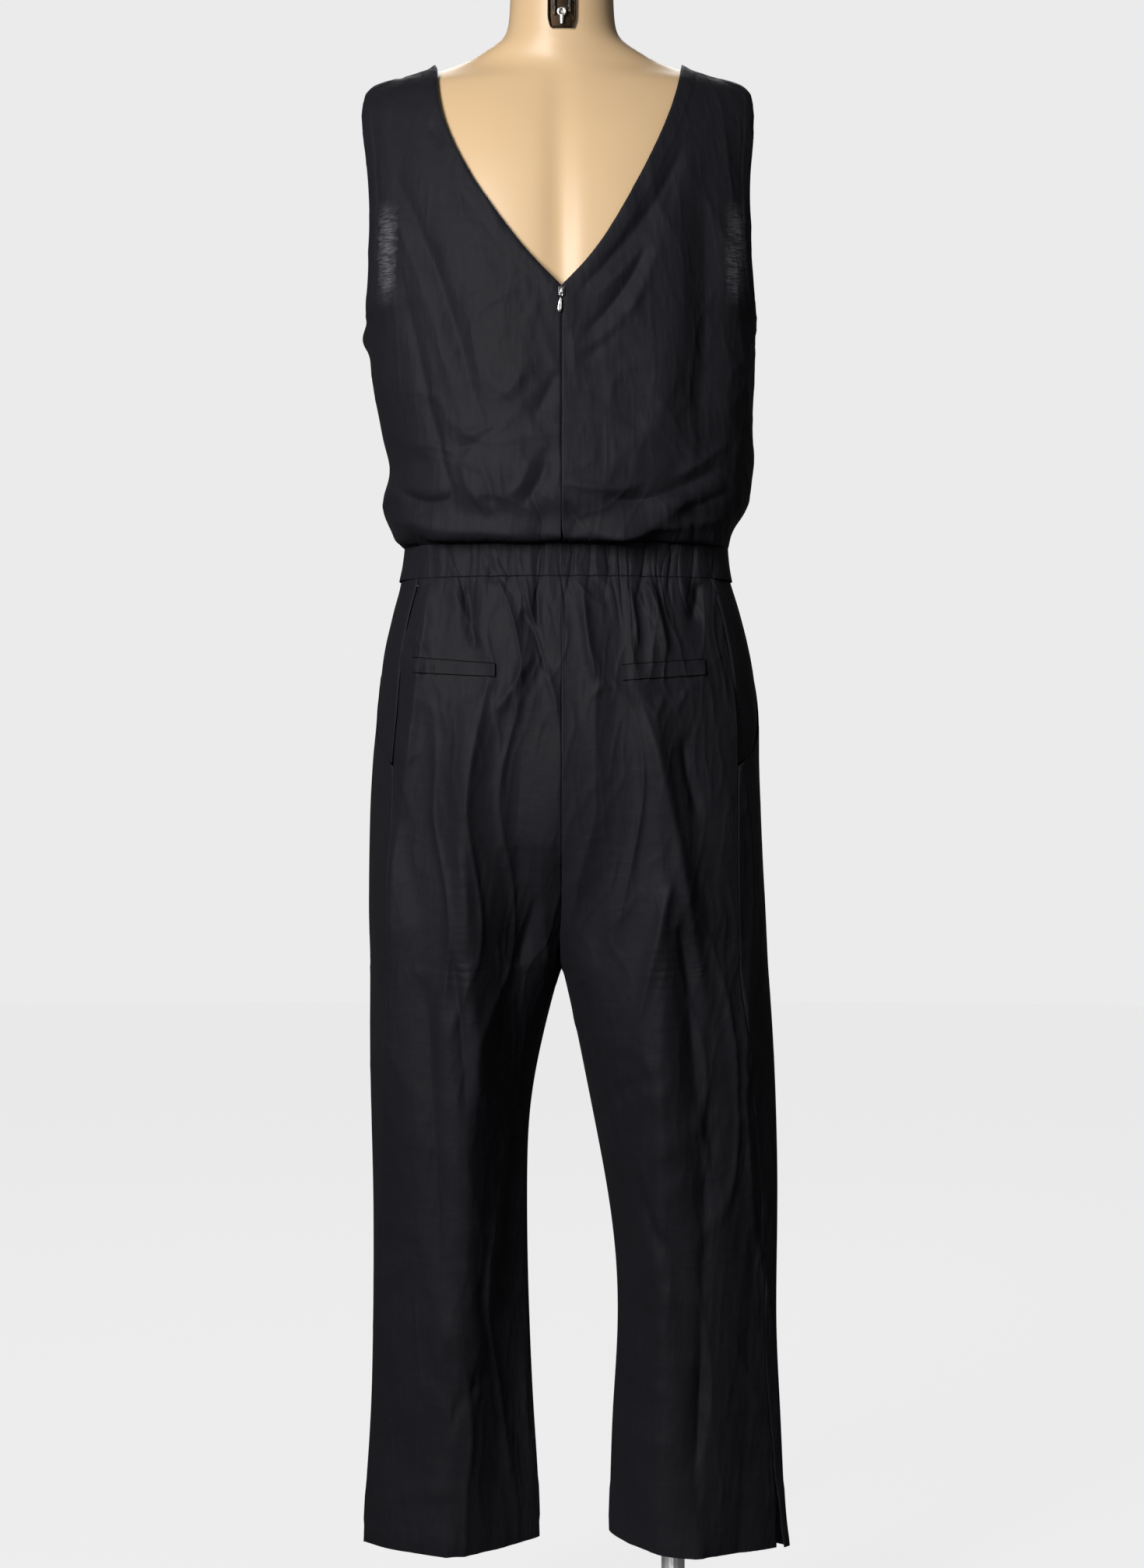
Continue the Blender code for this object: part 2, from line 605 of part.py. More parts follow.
def wall(name, sheets, made_of):
    """A closed wall from sheets of rows of (outer points, inner points)."""
    bm = bmesh.new()
    inner_point = bm.verts.layers.float_vector.new("inner")
    for rows in sheets:
        made = []
        for outer, inner in rows:
            made.append([bm.verts.new(point) for point in outer])
            for vertex, point in zip(made[-1], inner):
                vertex[inner_point] = point
        for low, high in zip(made, made[1:]):
            strip(bm, low, high)
    bmesh.ops.remove_doubles(bm, verts=bm.verts, dist=1e-6)
    bmesh.ops.triangulate(bm, faces=bm.faces)  # so that both sides have the same diagonals
    outer_faces = list(bm.faces)
    rims = [edge for edge in bm.edges if edge.is_boundary]
    partner = {vertex: bm.verts.new(vertex[inner_point]) for vertex in list(bm.verts)}
    for face in outer_faces:
        bm.faces.new([partner[vertex] for vertex in reversed(face.verts)])
    for edge in rims:
        one, other = edge.verts
        bm.faces.new((one, other, partner[other], partner[one]))
    return finish(name, bm, made_of)


FIRST_TRY = 1e-3  # of a step over the cloth, as a share of the whole panel
TRIES = 14


def skin(surface, side, u, v, thickness, raised=0.0, plain=None):
    """Outer and inner points of a wall, raised off the surface where it lies on a panel.
    Where folds are tight, plain is the unfolded surface that gives the wall's direction."""
    normal = outward(plain or surface, side, u, v)
    outer = surface(u, v) + raised * normal
    return outer, outer - thickness * normal


def drawn_in(surface, u, v, along_u, along_v):
    """Moves points this far over the cloth, in metres, along u or along v."""
    start = surface(u, v)
    distance = abs(along_u or along_v)
    share = np.full_like(u, FIRST_TRY)
    for _ in range(TRIES):
        u_now = u + math.copysign(1, along_u) * share if along_u else u
        v_now = v if along_u else v + math.copysign(1, along_v) * share
        moved = np.linalg.norm(surface(u_now, v_now) - start, axis=-1)
        share = share * (distance / moved) ** 0.7
    return u_now, v_now


def panel_rows(surface, side, rows, edges, seams, thickness, level_z=(), plain=None):
    """Rows of a panel. rows gives (v, cells), edges gives u's range at v, and seams says
    which of the ranges' ends (start, end) and of the panel's last row (top) meet a seam.
    level_z gives the heights of the first rows, which meet the waistband's flat seams."""
    made = []
    for number, (v, cells) in enumerate(rows):
        start, end = edges(v)
        u = np.linspace(start, end, cells + 1)
        v = np.full_like(u, v)
        if "top" in seams and number == len(rows) - 1:
            u, v = drawn_in(surface, u, v, 0, -SEAM_GAP / 2)
        if "start" in seams:
            u[:1], v[:1] = drawn_in(surface, u[:1], v[:1], SEAM_GAP / 2, 0)
        if "end" in seams:
            u[-1:], v[-1:] = drawn_in(surface, u[-1:], v[-1:], -SEAM_GAP / 2, 0)
        outer, inner = skin(surface, side, u, v, thickness, plain=plain)
        for points in (outer, inner):  # both sides of an inseam stop short of it
            if start == 0:
                points[0, 1] = max(points[0, 1], SEAM_GAP / 2)
            if end == 1:
                points[-1, 1] = min(points[-1, 1], -SEAM_GAP / 2)
        if number < len(level_z):
            outer[:, 2] = inner[:, 2] = level_z[number]
        made.append((outer, inner))
    return made


# The garment ----------------------------------------------------------------------------

TROUSER_FINE_Z = (1.0089, 0.9985, 0.985, 0.968, 0.948, 0.928)
TROUSER_PLAIN_Z = (
    *(0.905, 0.875, 0.850, 0.835, 0.795, 0.755, 0.715, 0.685, 0.662, 0.649, CROTCH_Z),
    *(0.620, 0.570, 0.510, 0.440, 0.370, 0.300, 0.230, 0.160, HEM_Z),
)
BODICE_FINE_Z = (1.0403, 1.0445, 1.0520, 1.0620, 1.0740)
BODICE_PLAIN_Z = (1.090, 1.106, 1.122, 1.140, 1.165, 1.190, 1.220)
# Rows above the armhole foot, by how far the cloth leans from upright, in degrees.
BACK_LEANS = (90, 87, math.degrees(math.acos(1 - V_FOOT)), 78, 70, 60, 50, 40, 30, 20, 11, 4, 0)
SCOOP_LEAN = math.degrees(math.acos(1 - SCOOP_FOOT))
FRONT_LEANS = (90, 87, 83, 76, 65, SCOOP_LEAN, SCOOP_LEAN - 1.2, 48, 40, 30, 20, 11, 4, 0)
BAND_Z = (BAND_FOOT_Z, 1.0246, BAND_TOP_Z)


def trouser_rows(cells):
    fine = [(z, cells * FINE) for z in TROUSER_FINE_Z]
    return fine + [(z, cells) for z in TROUSER_PLAIN_Z]


def bodice_rows(cells, leans):
    deep = ARMHOLE_FOOT_Z - BODICE[0].z
    fine = [((z - ARMHOLE_FOOT_Z) / deep, cells * FINE) for z in BODICE_FINE_Z]
    plain = [((z - ARMHOLE_FOOT_Z) / deep, cells) for z in BODICE_PLAIN_Z]
    return fine + plain + [(1 - lean / 90, cells) for lean in leans]


def share_at(climb):
    return 1 - math.cos((1 - max(climb, 0)) * math.pi / 2)


def body_turn(side, share, x):
    """The turn round the upper bodice at which it is x from the middle."""
    half = armhole[side](share) / math.sin(math.radians(armhole["turn"](share)))
    return math.asin(min(x / half, 1))


def back_bodice_edges(side):
    def at(climb):
        share = share_at(climb)
        cut = math.radians(armhole["turn"](share))
        return (0 if share >= V_FOOT else body_turn(side, share, vee[side](share))), cut

    return at


def front_bodice_edges(side):
    def at(climb):
        share = share_at(climb)
        cut = math.pi - math.radians(armhole["turn"](share))
        if share >= SCOOP_FOOT:
            return cut, math.pi
        scoop = vee[side](0) * math.sqrt(1 - (share / SCOOP_FOOT) ** 2)
        return cut, math.pi - body_turn(side, share, scoop)

    return at


def seam_at(side, z):
    return float(legs[side + "_seam"](z))


def pocket_mouth(z):
    """How far the pocket's mouth is from the side seam, as a share of the front panel. It
    runs straight from row to row, so that the panel and the facing meet all along it."""
    rows = [row for row in (*TROUSER_FINE_Z, *TROUSER_PLAIN_Z) if row >= POCKET_FOOT_Z][::-1]
    heights = [(row - POCKET_FOOT_Z) / (BAND_FOOT_Z - POCKET_FOOT_Z) for row in rows]
    return POCKET_MOUTH * float(np.interp(z, rows, np.sqrt(heights)))


def front_trouser_edges(side):
    def at(z):
        seam = seam_at(side, z)
        return seam + pocket_mouth(z) * (1 - seam), 1

    return at


def front_cloth(side):
    """The front panel's surface, with the corner at the side slit swung outwards."""
    surface = TROUSER_CLOTH[side]

    def at(round_leg, z):
        open_share = np.clip((SLIT_TOP_Z - z) / (SLIT_TOP_Z - HEM_Z), 0, 1)
        from_seam = round_leg - legs[side + "_seam"](z)
        swing = SLIT_SWING[side] * open_share**1.5 * np.exp(-((from_seam / SLIT_REACH) ** 2))
        return surface(round_leg, z) + np.stack([SIGN[side] * swing, 0 * swing, 0 * swing], -1)

    return at


def pocket_facing(side, cells):
    """The facing seen in the side pocket's mouth. It sinks behind the front panel's edge."""
    surface = TROUSER_CLOTH[side]
    rows = []
    for z in (*TROUSER_FINE_Z, 0.905, 0.875, 0.850, POCKET_FOOT_Z + POCKET_TIP):
        seam = seam_at(side, z)
        u = np.linspace(seam, seam + pocket_mouth(z) * (1 - seam), cells + 1)
        v = np.full_like(u, z)
        u[:1], v[:1] = drawn_in(surface, u[:1], v[:1], SEAM_GAP / 2, 0)
        u[-1:], v[-1:] = drawn_in(surface, u[-1:], v[-1:], -POCKET_CLEAR, 0)
        sunk = POCKET_STEP * np.linspace(0, 1, cells + 1)[:, None] ** 0.5
        outer, inner = skin(surface, side, u, v, CLOTH, -sunk)
        if not rows:
            outer[:, 2] = inner[:, 2] = z
        rows.append((outer, inner))
    return rows


def make_trousers(cloth):
    for side in SIGN:
        surface = TROUSER_CLOTH[side]
        rows = panel_rows(
            surface,
            side,
            trouser_rows(15),
            lambda z: (0, seam_at(side, z)),
            ("start", "end"),
            CLOTH,
            TROUSER_FINE_Z[:1],
        )
        wall(f"trouser_back_{side}", [rows], cloth)
        rows = panel_rows(
            front_cloth(side),
            side,
            trouser_rows(9),
            front_trouser_edges(side),
            ("start", "end"),
            CLOTH,
            TROUSER_FINE_Z[:1],
        )
        wall(f"trouser_front_{side}", [rows], cloth)
        wall(f"pocket_facing_{side}", [pocket_facing(side, 4)], cloth)


def make_bodice(cloth):
    halves = []
    for side in SIGN:
        surface = BODICE_CLOTH[side]
        rows = panel_rows(
            surface,
            side,
            bodice_rows(14, BACK_LEANS),
            back_bodice_edges(side),
            ("start", "top", "end"),
            CLOTH,
            BODICE_FINE_Z[:1],
        )
        wall(f"bodice_back_{side}", [rows], cloth)
        rows = panel_rows(
            surface,
            side,
            bodice_rows(8, FRONT_LEANS),
            front_bodice_edges(side),
            ("start", "top"),
            CLOTH,
            BODICE_FINE_Z[:1],
        )
        halves.append([(outer[::SIGN[side]], inner[::SIGN[side]]) for outer, inner in rows])
    wall("bodice_front", halves, cloth)


def make_band(cloth):
    seam = math.radians(BAND_SEAM_TURN)
    fronts = []
    for side in SIGN:
        surface, plain = BAND_CLOTH[side], band_surface(side)
        rows = [(z, 28) for z in BAND_Z]
        ends = ("start", "end")
        back = panel_rows(
            surface, side, rows, lambda z: (0, seam), ends, BAND_WALL, BAND_Z, plain
        )
        wall(f"waistband_back_{side}", [back], cloth)
        rows = [(z, 24) for z in BAND_Z]
        front = panel_rows(
            surface, side, rows, lambda z: (seam, math.pi), ends[:1], BAND_WALL, BAND_Z, plain
        )
        fronts.append([(outer[:: SIGN[side]], inner[:: SIGN[side]]) for outer, inner in front])
    wall("waistband_front", fronts, cloth)


def back_place(side, x, z):
    """The round_leg and z of the trousers' back at x, z as seen from behind."""
    return math.asin(x / trousers[side](z)) / math.pi, z


def make_welts(cloth):
    for welt in WELTS:
        surface = TROUSER_CLOTH[welt.side]
        rows = []
        for height in np.linspace(0, 1, 4):
            places = []
            for along in np.linspace(0, 1, 13):
                x = welt.in_x + (welt.out_x - welt.in_x) * along
                top = welt.in_top + (welt.out_top - welt.in_top) * along
                foot = welt.in_foot + (welt.out_foot - welt.in_foot) * along
                places.append(back_place(welt.side, x / 1000, (foot + (top - foot) * height) / 1000))
            u, v = np.array(places).T
            rows.append(skin(surface, welt.side, u, v, WELT_WALL, WELT_RAISE + WELT_WALL))
        wall(f"welt_{welt.side}", [rows], cloth)


# The zip --------------------------------------------------------------------------------


def back_depth(x, z):
    """How far behind the side plane the centre back's outer surface lies at x and z."""
    side = "left" if x >= 0 else "right"
    x = abs(x)
    if z < BAND_FOOT_Z:
        surface, place = TROUSER_CLOTH[side], back_place(side, x, z)
    elif z < BAND_TOP_Z:
        surface, place = BAND_CLOTH[side], (math.asin(x / band[side](z)), z)
    elif z < ARMHOLE_FOOT_Z:
        climb = (z - ARMHOLE_FOOT_Z) / (ARMHOLE_FOOT_Z - BODICE[0].z)
        surface, place = BODICE_CLOTH[side], (math.asin(x / bodice[side](z)), climb)
    else:
        line = float(shoulder(x))
        share = (line - z) / (line - ARMHOLE_FOOT_Z)
        climb = 1 - math.acos(1 - share) / (math.pi / 2)
        surface, place = BODICE_CLOTH[side], (body_turn(side, share, x), climb)
    return float(surface(np.array([place[0]]), np.array([place[1]]))[0, 1])


TAPE_STEPS_Z = (1.2580, 1.2690)  # above the armhole foot
TAPE_EDGE_REACH = 0.003  # the tape clears the folds this far past its edges
TAPE_Z_REACH = 0.004


def tape_y(z):
    """The tape's outer face lies just inside the deepest fold near this height."""
    found = []
    for near in (z - TAPE_Z_REACH, z, z + TAPE_Z_REACH):
        thick = BAND_WALL if BAND_FOOT_Z <= near < BAND_TOP_Z else CLOTH
        for x in np.linspace(-1, 1, 7) * (ZIP_TAPE_HALF + TAPE_EDGE_REACH):
            found.append(back_depth(x, near) - thick)
    return min(found) - 2 * SEAM_GAP


def make_zip_tape(cloth):
    heights = [ZIP_FOOT_Z, 0.905, *TROUSER_FINE_Z, *BAND_Z[1:], *BODICE_FINE_Z[1:]]
    heights += [*BODICE_PLAIN_Z, ARMHOLE_FOOT_Z, *TAPE_STEPS_Z]
    rows = []
    for z in sorted(heights):
        y = tape_y(z)
        points = np.array([(x, y, z) for x in np.linspace(ZIP_TAPE_HALF, -ZIP_TAPE_HALF, 5)])
        rows.append((points, points - (0, ZIP_TAPE_WALL, 0)))
    wall("zip_tape", [rows], cloth)


def box(bm, low, high):
    for vertex in bmesh.ops.create_cube(bm, size=1)["verts"]:
        for axis in range(3):
            middle = (low[axis] + high[axis]) / 2
            vertex.co[axis] = middle + vertex.co[axis] * (high[axis] - low[axis])


ARCH_HALF = 0.0008  # half the width of the slider's bridge
ARCH_WALL = 0.0010
ARCH_REACH = 0.0022  # from the slider's face to the underside of its bridge
ARCH_TUNNEL = 0.0024
ARCH_SUNK = 0.0010
ARCH_EASE = 0.0004
SLIDER_HALF = 0.0030
SLIDER_THICK = 0.0022
PIVOT_OUT = 0.0011  # the pull's pivot, from the slider's face
PULL_THICK = 0.0010
PULL_BAR = 0.0012  # the bar at its eye, which turns under the bridge
NECK_HALF = 0.0020  # half the pull's width beside its eye


def pull_pivot():
    """The line that the pull tab turns on, and the y of the slider's back face."""
    middle = SLIDER_FOOT_Z + SLIDER_TALL / 2
    cloth_y = max(back_depth(x, z) for x in (-0.003, 0.0, 0.003) for z in (middle - 0.006, middle))
    seat = cloth_y + SEAM_GAP
    return seat, seat + SLIDER_THICK + PIVOT_OUT, middle


def make_slider(metal):
    seat, _, middle = pull_pivot()
    face = seat + SLIDER_THICK
    bm = bmesh.new()
    low, high = SLIDER_FOOT_Z, SLIDER_FOOT_Z + SLIDER_TALL
    box(bm, (-SLIDER_HALF, seat, low), (SLIDER_HALF, face, high))
    bmesh.ops.bevel(
        bm, geom=bm.edges[:], offset=0.0006, segments=2, profile=0.5, affect="EDGES", material=-1
    )
    plate = finish("zip_slider", bm, metal)
    # The bridge is an arch, seen from the side, whose feet are sunk in the plate.
    bm = bmesh.new()
    inner, outer = ARCH_TUNNEL / 2, ARCH_TUNNEL / 2 + ARCH_WALL
    sunk, under, top = face - ARCH_SUNK, face + ARCH_REACH, face + ARCH_REACH + ARCH_WALL
    outline = [(sunk, -outer), (top - ARCH_EASE, -outer), (top, -outer + ARCH_EASE)]
    outline += [(top, outer - ARCH_EASE), (top - ARCH_EASE, outer), (sunk, outer)]
    outline += [(sunk, inner), (under, inner), (under, -inner), (sunk, -inner)]
    rows = [[bm.verts.new((x, y, middle + z)) for y, z in outline] for x in (-ARCH_HALF, ARCH_HALF)]
    bm.faces.new(rows[0][::-1])
    bm.faces.new(rows[1])
    for i in range(len(outline)):
        j = (i + 1) % len(outline)
        bm.faces.new((rows[0][i], rows[0][j], rows[1][j], rows[1][i]))
    bridge = finish("slider_bridge", bm, metal)
    bridge.hide_render = True
    bridge.display_type = "WIRE"
    joined = plate.modifiers.new("bridge", "BOOLEAN")
    joined.operation = "UNION"
    joined.object = bridge


def make_pull(metal):
    """A teardrop tab with an eye: its upper edge is the bar that turns under the bridge."""
    _, pivot_y, pivot_z = pull_pivot()
    eye_half, eye_top, eye_foot = 0.0014, -PULL_BAR / 2, -0.0038
    neck_z, belly_z = -PULL_BAR / 2, PULL_HALF + PULL_BAR - PULL_LENGTH
    outer = []
    for angle in np.linspace(0, math.pi, 9):
        outer.append((NECK_HALF * math.cos(angle), neck_z + PULL_BAR * math.sin(angle)))
    for angle in np.linspace(math.pi, 2 * math.pi, 11):
        outer.append((PULL_HALF * math.cos(angle), belly_z + PULL_HALF * math.sin(angle)))
    eye = []
    middle = (eye_top + eye_foot) / 2
    tall = (eye_top - eye_foot) / 2
    for angle in np.linspace(0, 2 * math.pi, 21)[:-1]:
        corner_x = math.copysign(abs(math.cos(angle)) ** 0.5, math.cos(angle))
        corner_z = math.copysign(abs(math.sin(angle)) ** 0.5, math.sin(angle))
        eye.append((eye_half * corner_x, middle + tall * corner_z))
    bm = bmesh.new()
    rings = []
    for y in (-PULL_THICK / 2, PULL_THICK / 2):
        loops = []
        for outline in (outer, eye):
            loops.append([bm.verts.new((x, pivot_y + y, pivot_z + z)) for x, z in outline])
        rings.append(loops)
    for loop in (0, 1):
        count = len(rings[0][loop])
        for i in range(count):
            j = (i + 1) % count
            one, other = rings[0][loop], rings[1][loop]
            bm.faces.new((one[i], one[j], other[j], other[i]))
    for loops in rings:
        edges = []
        for loop in loops:
            for i in range(len(loop)):
                edges.append(bm.edges.get((loop[i], loop[(i + 1) % len(loop)])))
        bmesh.ops.triangle_fill(bm, edges=edges, use_beauty=True)
    finish("zip_pull", bm, metal)


# The dress form and its stand -------------------------------------------------------------


def form_ring(z):
    turn = np.linspace(0, 2 * math.pi, FORM_COLUMNS + 1)[:-1]
    across = np.sin(turn)
    depth = np.where(np.cos(turn) >= 0, form["back"](z), -form["front"](z))
    x = form["width"](z) * across
    y = depth * roundness(across, form["square"](z))
    groove = np.clip((z - SPINE_FOOT_Z) / 0.1, 0, 1) * np.clip((SPINE_TOP_Z - z) / 0.06, 0, 1)
    behind = np.cos(turn) > 0
    y = y - behind * SPINE_DEPTH * groove * np.exp(-((x / SPINE_HALF) ** 2))
    return np.stack([x, y, z + 0 * x], -1)


def make_form(made_of):
    bm = bmesh.new()
    rings = [[bm.verts.new(point) for point in form_ring(row.z)] for row in FORM]
    for low, high in zip(rings, rings[1:]):
        strip(bm, low + low[:1], high + high[:1])
    bm.faces.new(rings[0][::-1])
    bm.faces.new(rings[-1])
    finish("dress_form", bm, made_of)


def turned(name, outline, centre, sides, made_of):
    """A solid of revolution about the vertical through centre. outline lists (radius, z)."""
    bm = bmesh.new()
    points = [bm.verts.new((centre + radius, 0, z)) for radius, z in outline]
    edges = [bm.edges.new(pair) for pair in zip(points, points[1:])]
    if outline[0][0] > 0:
        edges.append(bm.edges.new((points[-1], points[0])))
    bmesh.ops.spin(
        bm,
        geom=points + edges,
        cent=(centre, 0, 0),
        axis=(0, 0, 1),
        angle=2 * math.pi,
        steps=sides,
        use_merge=True,
    )
    bmesh.ops.remove_doubles(bm, verts=bm.verts, dist=1e-6)
    return finish(name, bm, made_of)


def make_stand(steel, dark):
    base = [(0, 0), (BASE_RADIUS - BASE_EDGE, 0), (BASE_RADIUS, BASE_EDGE)]
    base += [(BASE_RADIUS, BASE_THICK - BASE_EDGE), (BASE_RADIUS - BASE_EDGE, BASE_THICK)]
    base += [(0, BASE_THICK)]
    turned("stand_base", base, 0, 40, steel)
    foot = BASE_THICK + SEAM_GAP
    bore = POLE_RADIUS + SEAM_GAP
    collar = [(bore, foot), (COLLAR_RADIUS, foot), (COLLAR_RADIUS, foot + COLLAR_FOOT)]
    collar += [(NECK_RADIUS, foot + 2 * COLLAR_FOOT), (NECK_RADIUS, foot + COLLAR_HEIGHT - 0.001)]
    collar += [(NECK_RADIUS - 0.001, foot + COLLAR_HEIGHT), (bore, foot + COLLAR_HEIGHT)]
    turned("stand_collar", collar, POLE_X, 16, dark)
    top = FORM[0].z - SEAM_GAP
    pole = [(0, foot), (POLE_RADIUS, foot), (POLE_RADIUS, top), (0, top)]
    turned("stand_pole", pole, POLE_X, 16, steel)
    flange = [(bore, top - FLANGE_HEIGHT), (NECK_RADIUS, top - FLANGE_HEIGHT)]
    flange += [(NECK_RADIUS, top - FLANGE_THICK), (FLANGE_RADIUS, top - FLANGE_THICK)]
    flange += [(FLANGE_RADIUS, top), (bore, top)]
    turned("stand_flange", flange, POLE_X, 16, dark)


NAPE_HALF = 0.0135
NAPE_FOOT_Z = 1.5215
NAPE_TOP_Z = 1.5750
NAPE_WALL = 0.0025
NAPE_CLEAR = 0.0010  # between the plate and the round of the neck
BOLT_Z = 1.5400
BOLT_RADIUS = 0.0050
BOLT_TALL = 0.0040
LOOP_HALF = 0.0078
LOOP_WIRE_RADIUS = 0.0007
LOOP_FOOT_Z = 1.5260
LOOP_TOP_Z = 1.5610
CAP_RADIUS = 0.0500
CAP_TALL = 0.0160


def nape_y(x, z):
    across = x / form["width"](z)
    return float(form["back"](z) * roundness(across, form["square"](z)))


def make_nape(dark):
    rows = []
    for z in np.linspace(NAPE_FOOT_Z, NAPE_TOP_Z, 5):
        across = np.linspace(NAPE_HALF, -NAPE_HALF, 7)
        inner = np.array([(x, nape_y(x, z) + NAPE_CLEAR, z) for x in across])
        rows.append((inner + (0, NAPE_WALL, 0), inner))
    wall("nape_plate", [rows], dark)
    seat = nape_y(0, BOLT_Z) + NAPE_CLEAR + NAPE_WALL + SEAM_GAP
    bm = bmesh.new()
    made = bmesh.ops.create_cone(
        bm, cap_ends=True, segments=20, radius1=BOLT_RADIUS, radius2=BOLT_RADIUS, depth=BOLT_TALL
    )
    quarter = Matrix.Rotation(math.radians(-90), 3, "X")
    bmesh.ops.rotate(bm, verts=made["verts"], cent=(0, 0, 0), matrix=quarter)
    bmesh.ops.translate(bm, verts=made["verts"], vec=(0, seat + BOLT_TALL / 2, BOLT_Z))
    finish("nape_bolt", bm, dark)
    make_loop(seat + LOOP_WIRE_RADIUS, dark)
    cap_z = FORM[-1].z + SEAM_GAP
    cap = [(0, cap_z), (CAP_RADIUS - 0.0025, cap_z), (CAP_RADIUS, cap_z + 0.0025)]
    cap += [(CAP_RADIUS, cap_z + CAP_TALL / 2), (CAP_RADIUS - 0.0030, cap_z + 0.7 * CAP_TALL)]
    cap += [(CAP_RADIUS / 2, cap_z + 0.94 * CAP_TALL), (0, cap_z + CAP_TALL)]
    turned("neck_cap", cap, 0, 24, dark)


def make_loop(y, dark):
    """The wire loop behind the bolt: two legs and a half circle."""
    arch_z = LOOP_TOP_Z - LOOP_HALF
    points = [(LOOP_HALF, LOOP_FOOT_Z), (LOOP_HALF, (LOOP_FOOT_Z + arch_z) / 2)]
    for angle in np.linspace(0, math.pi, 9):
        points.append((LOOP_HALF * math.cos(angle), arch_z + LOOP_HALF * math.sin(angle)))
    points += [(-LOOP_HALF, (LOOP_FOOT_Z + arch_z) / 2), (-LOOP_HALF, LOOP_FOOT_Z)]
    wire = bpy.data.curves.new("nape_loop", "CURVE")
    wire.dimensions = "3D"
    wire.bevel_depth = LOOP_WIRE_RADIUS
    wire.bevel_resolution = 1
    wire.use_fill_caps = True
    spline = wire.splines.new("POLY")
    spline.points.add(len(points) - 1)
    for point, (x, z) in zip(spline.points, points):
        point.co = (x, y, z, 1)
    wire.materials.append(dark)
    loop = bpy.data.objects.new("nape_loop", wire)
    bpy.context.scene.collection.objects.link(loop)


# Assembly -------------------------------------------------------------------------------


def main():
    for obj in list(bpy.data.objects):
        bpy.data.objects.remove(obj, do_unlink=True)
    cloth = material("black woven cloth", (0.018, 0.018, 0.020), 0.75)
    tape = material("black zip tape", (0.010, 0.010, 0.011), 0.60)
    skin_finish = material("tan moulded form", (0.70, 0.48, 0.27), 0.30, coat=0.4)
    steel = material("brushed steel", (0.60, 0.60, 0.60), 0.35, metallic=1.0)
    dark = material("dark bronze", (0.10, 0.07, 0.045), 0.45, metallic=1.0)
    silver = material("silver zip metal", (0.72, 0.72, 0.70), 0.25, metallic=1.0)
    make_bodice(cloth)
    make_band(cloth)
    make_trousers(cloth)
    make_welts(cloth)
    make_zip_tape(tape)
    make_slider(silver)
    make_pull(silver)
    make_form(skin_finish)
    make_nape(dark)
    make_stand(steel, dark)


main()
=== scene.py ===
# %% [markdown]
# # A black jumpsuit on a dress form
#
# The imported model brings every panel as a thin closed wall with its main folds. This file
# gives those walls the look of cloth: each panel is taken back to its outer face, flattened
# to find its cut, refined, creased, turned in at its free edges and given its thickness.
# Lengths are in metres, unless a comment says millimetres. +Z is up, +X is the wearer's left
# and +Y is behind the wearer.

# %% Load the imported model
import json
import math
from collections import namedtuple

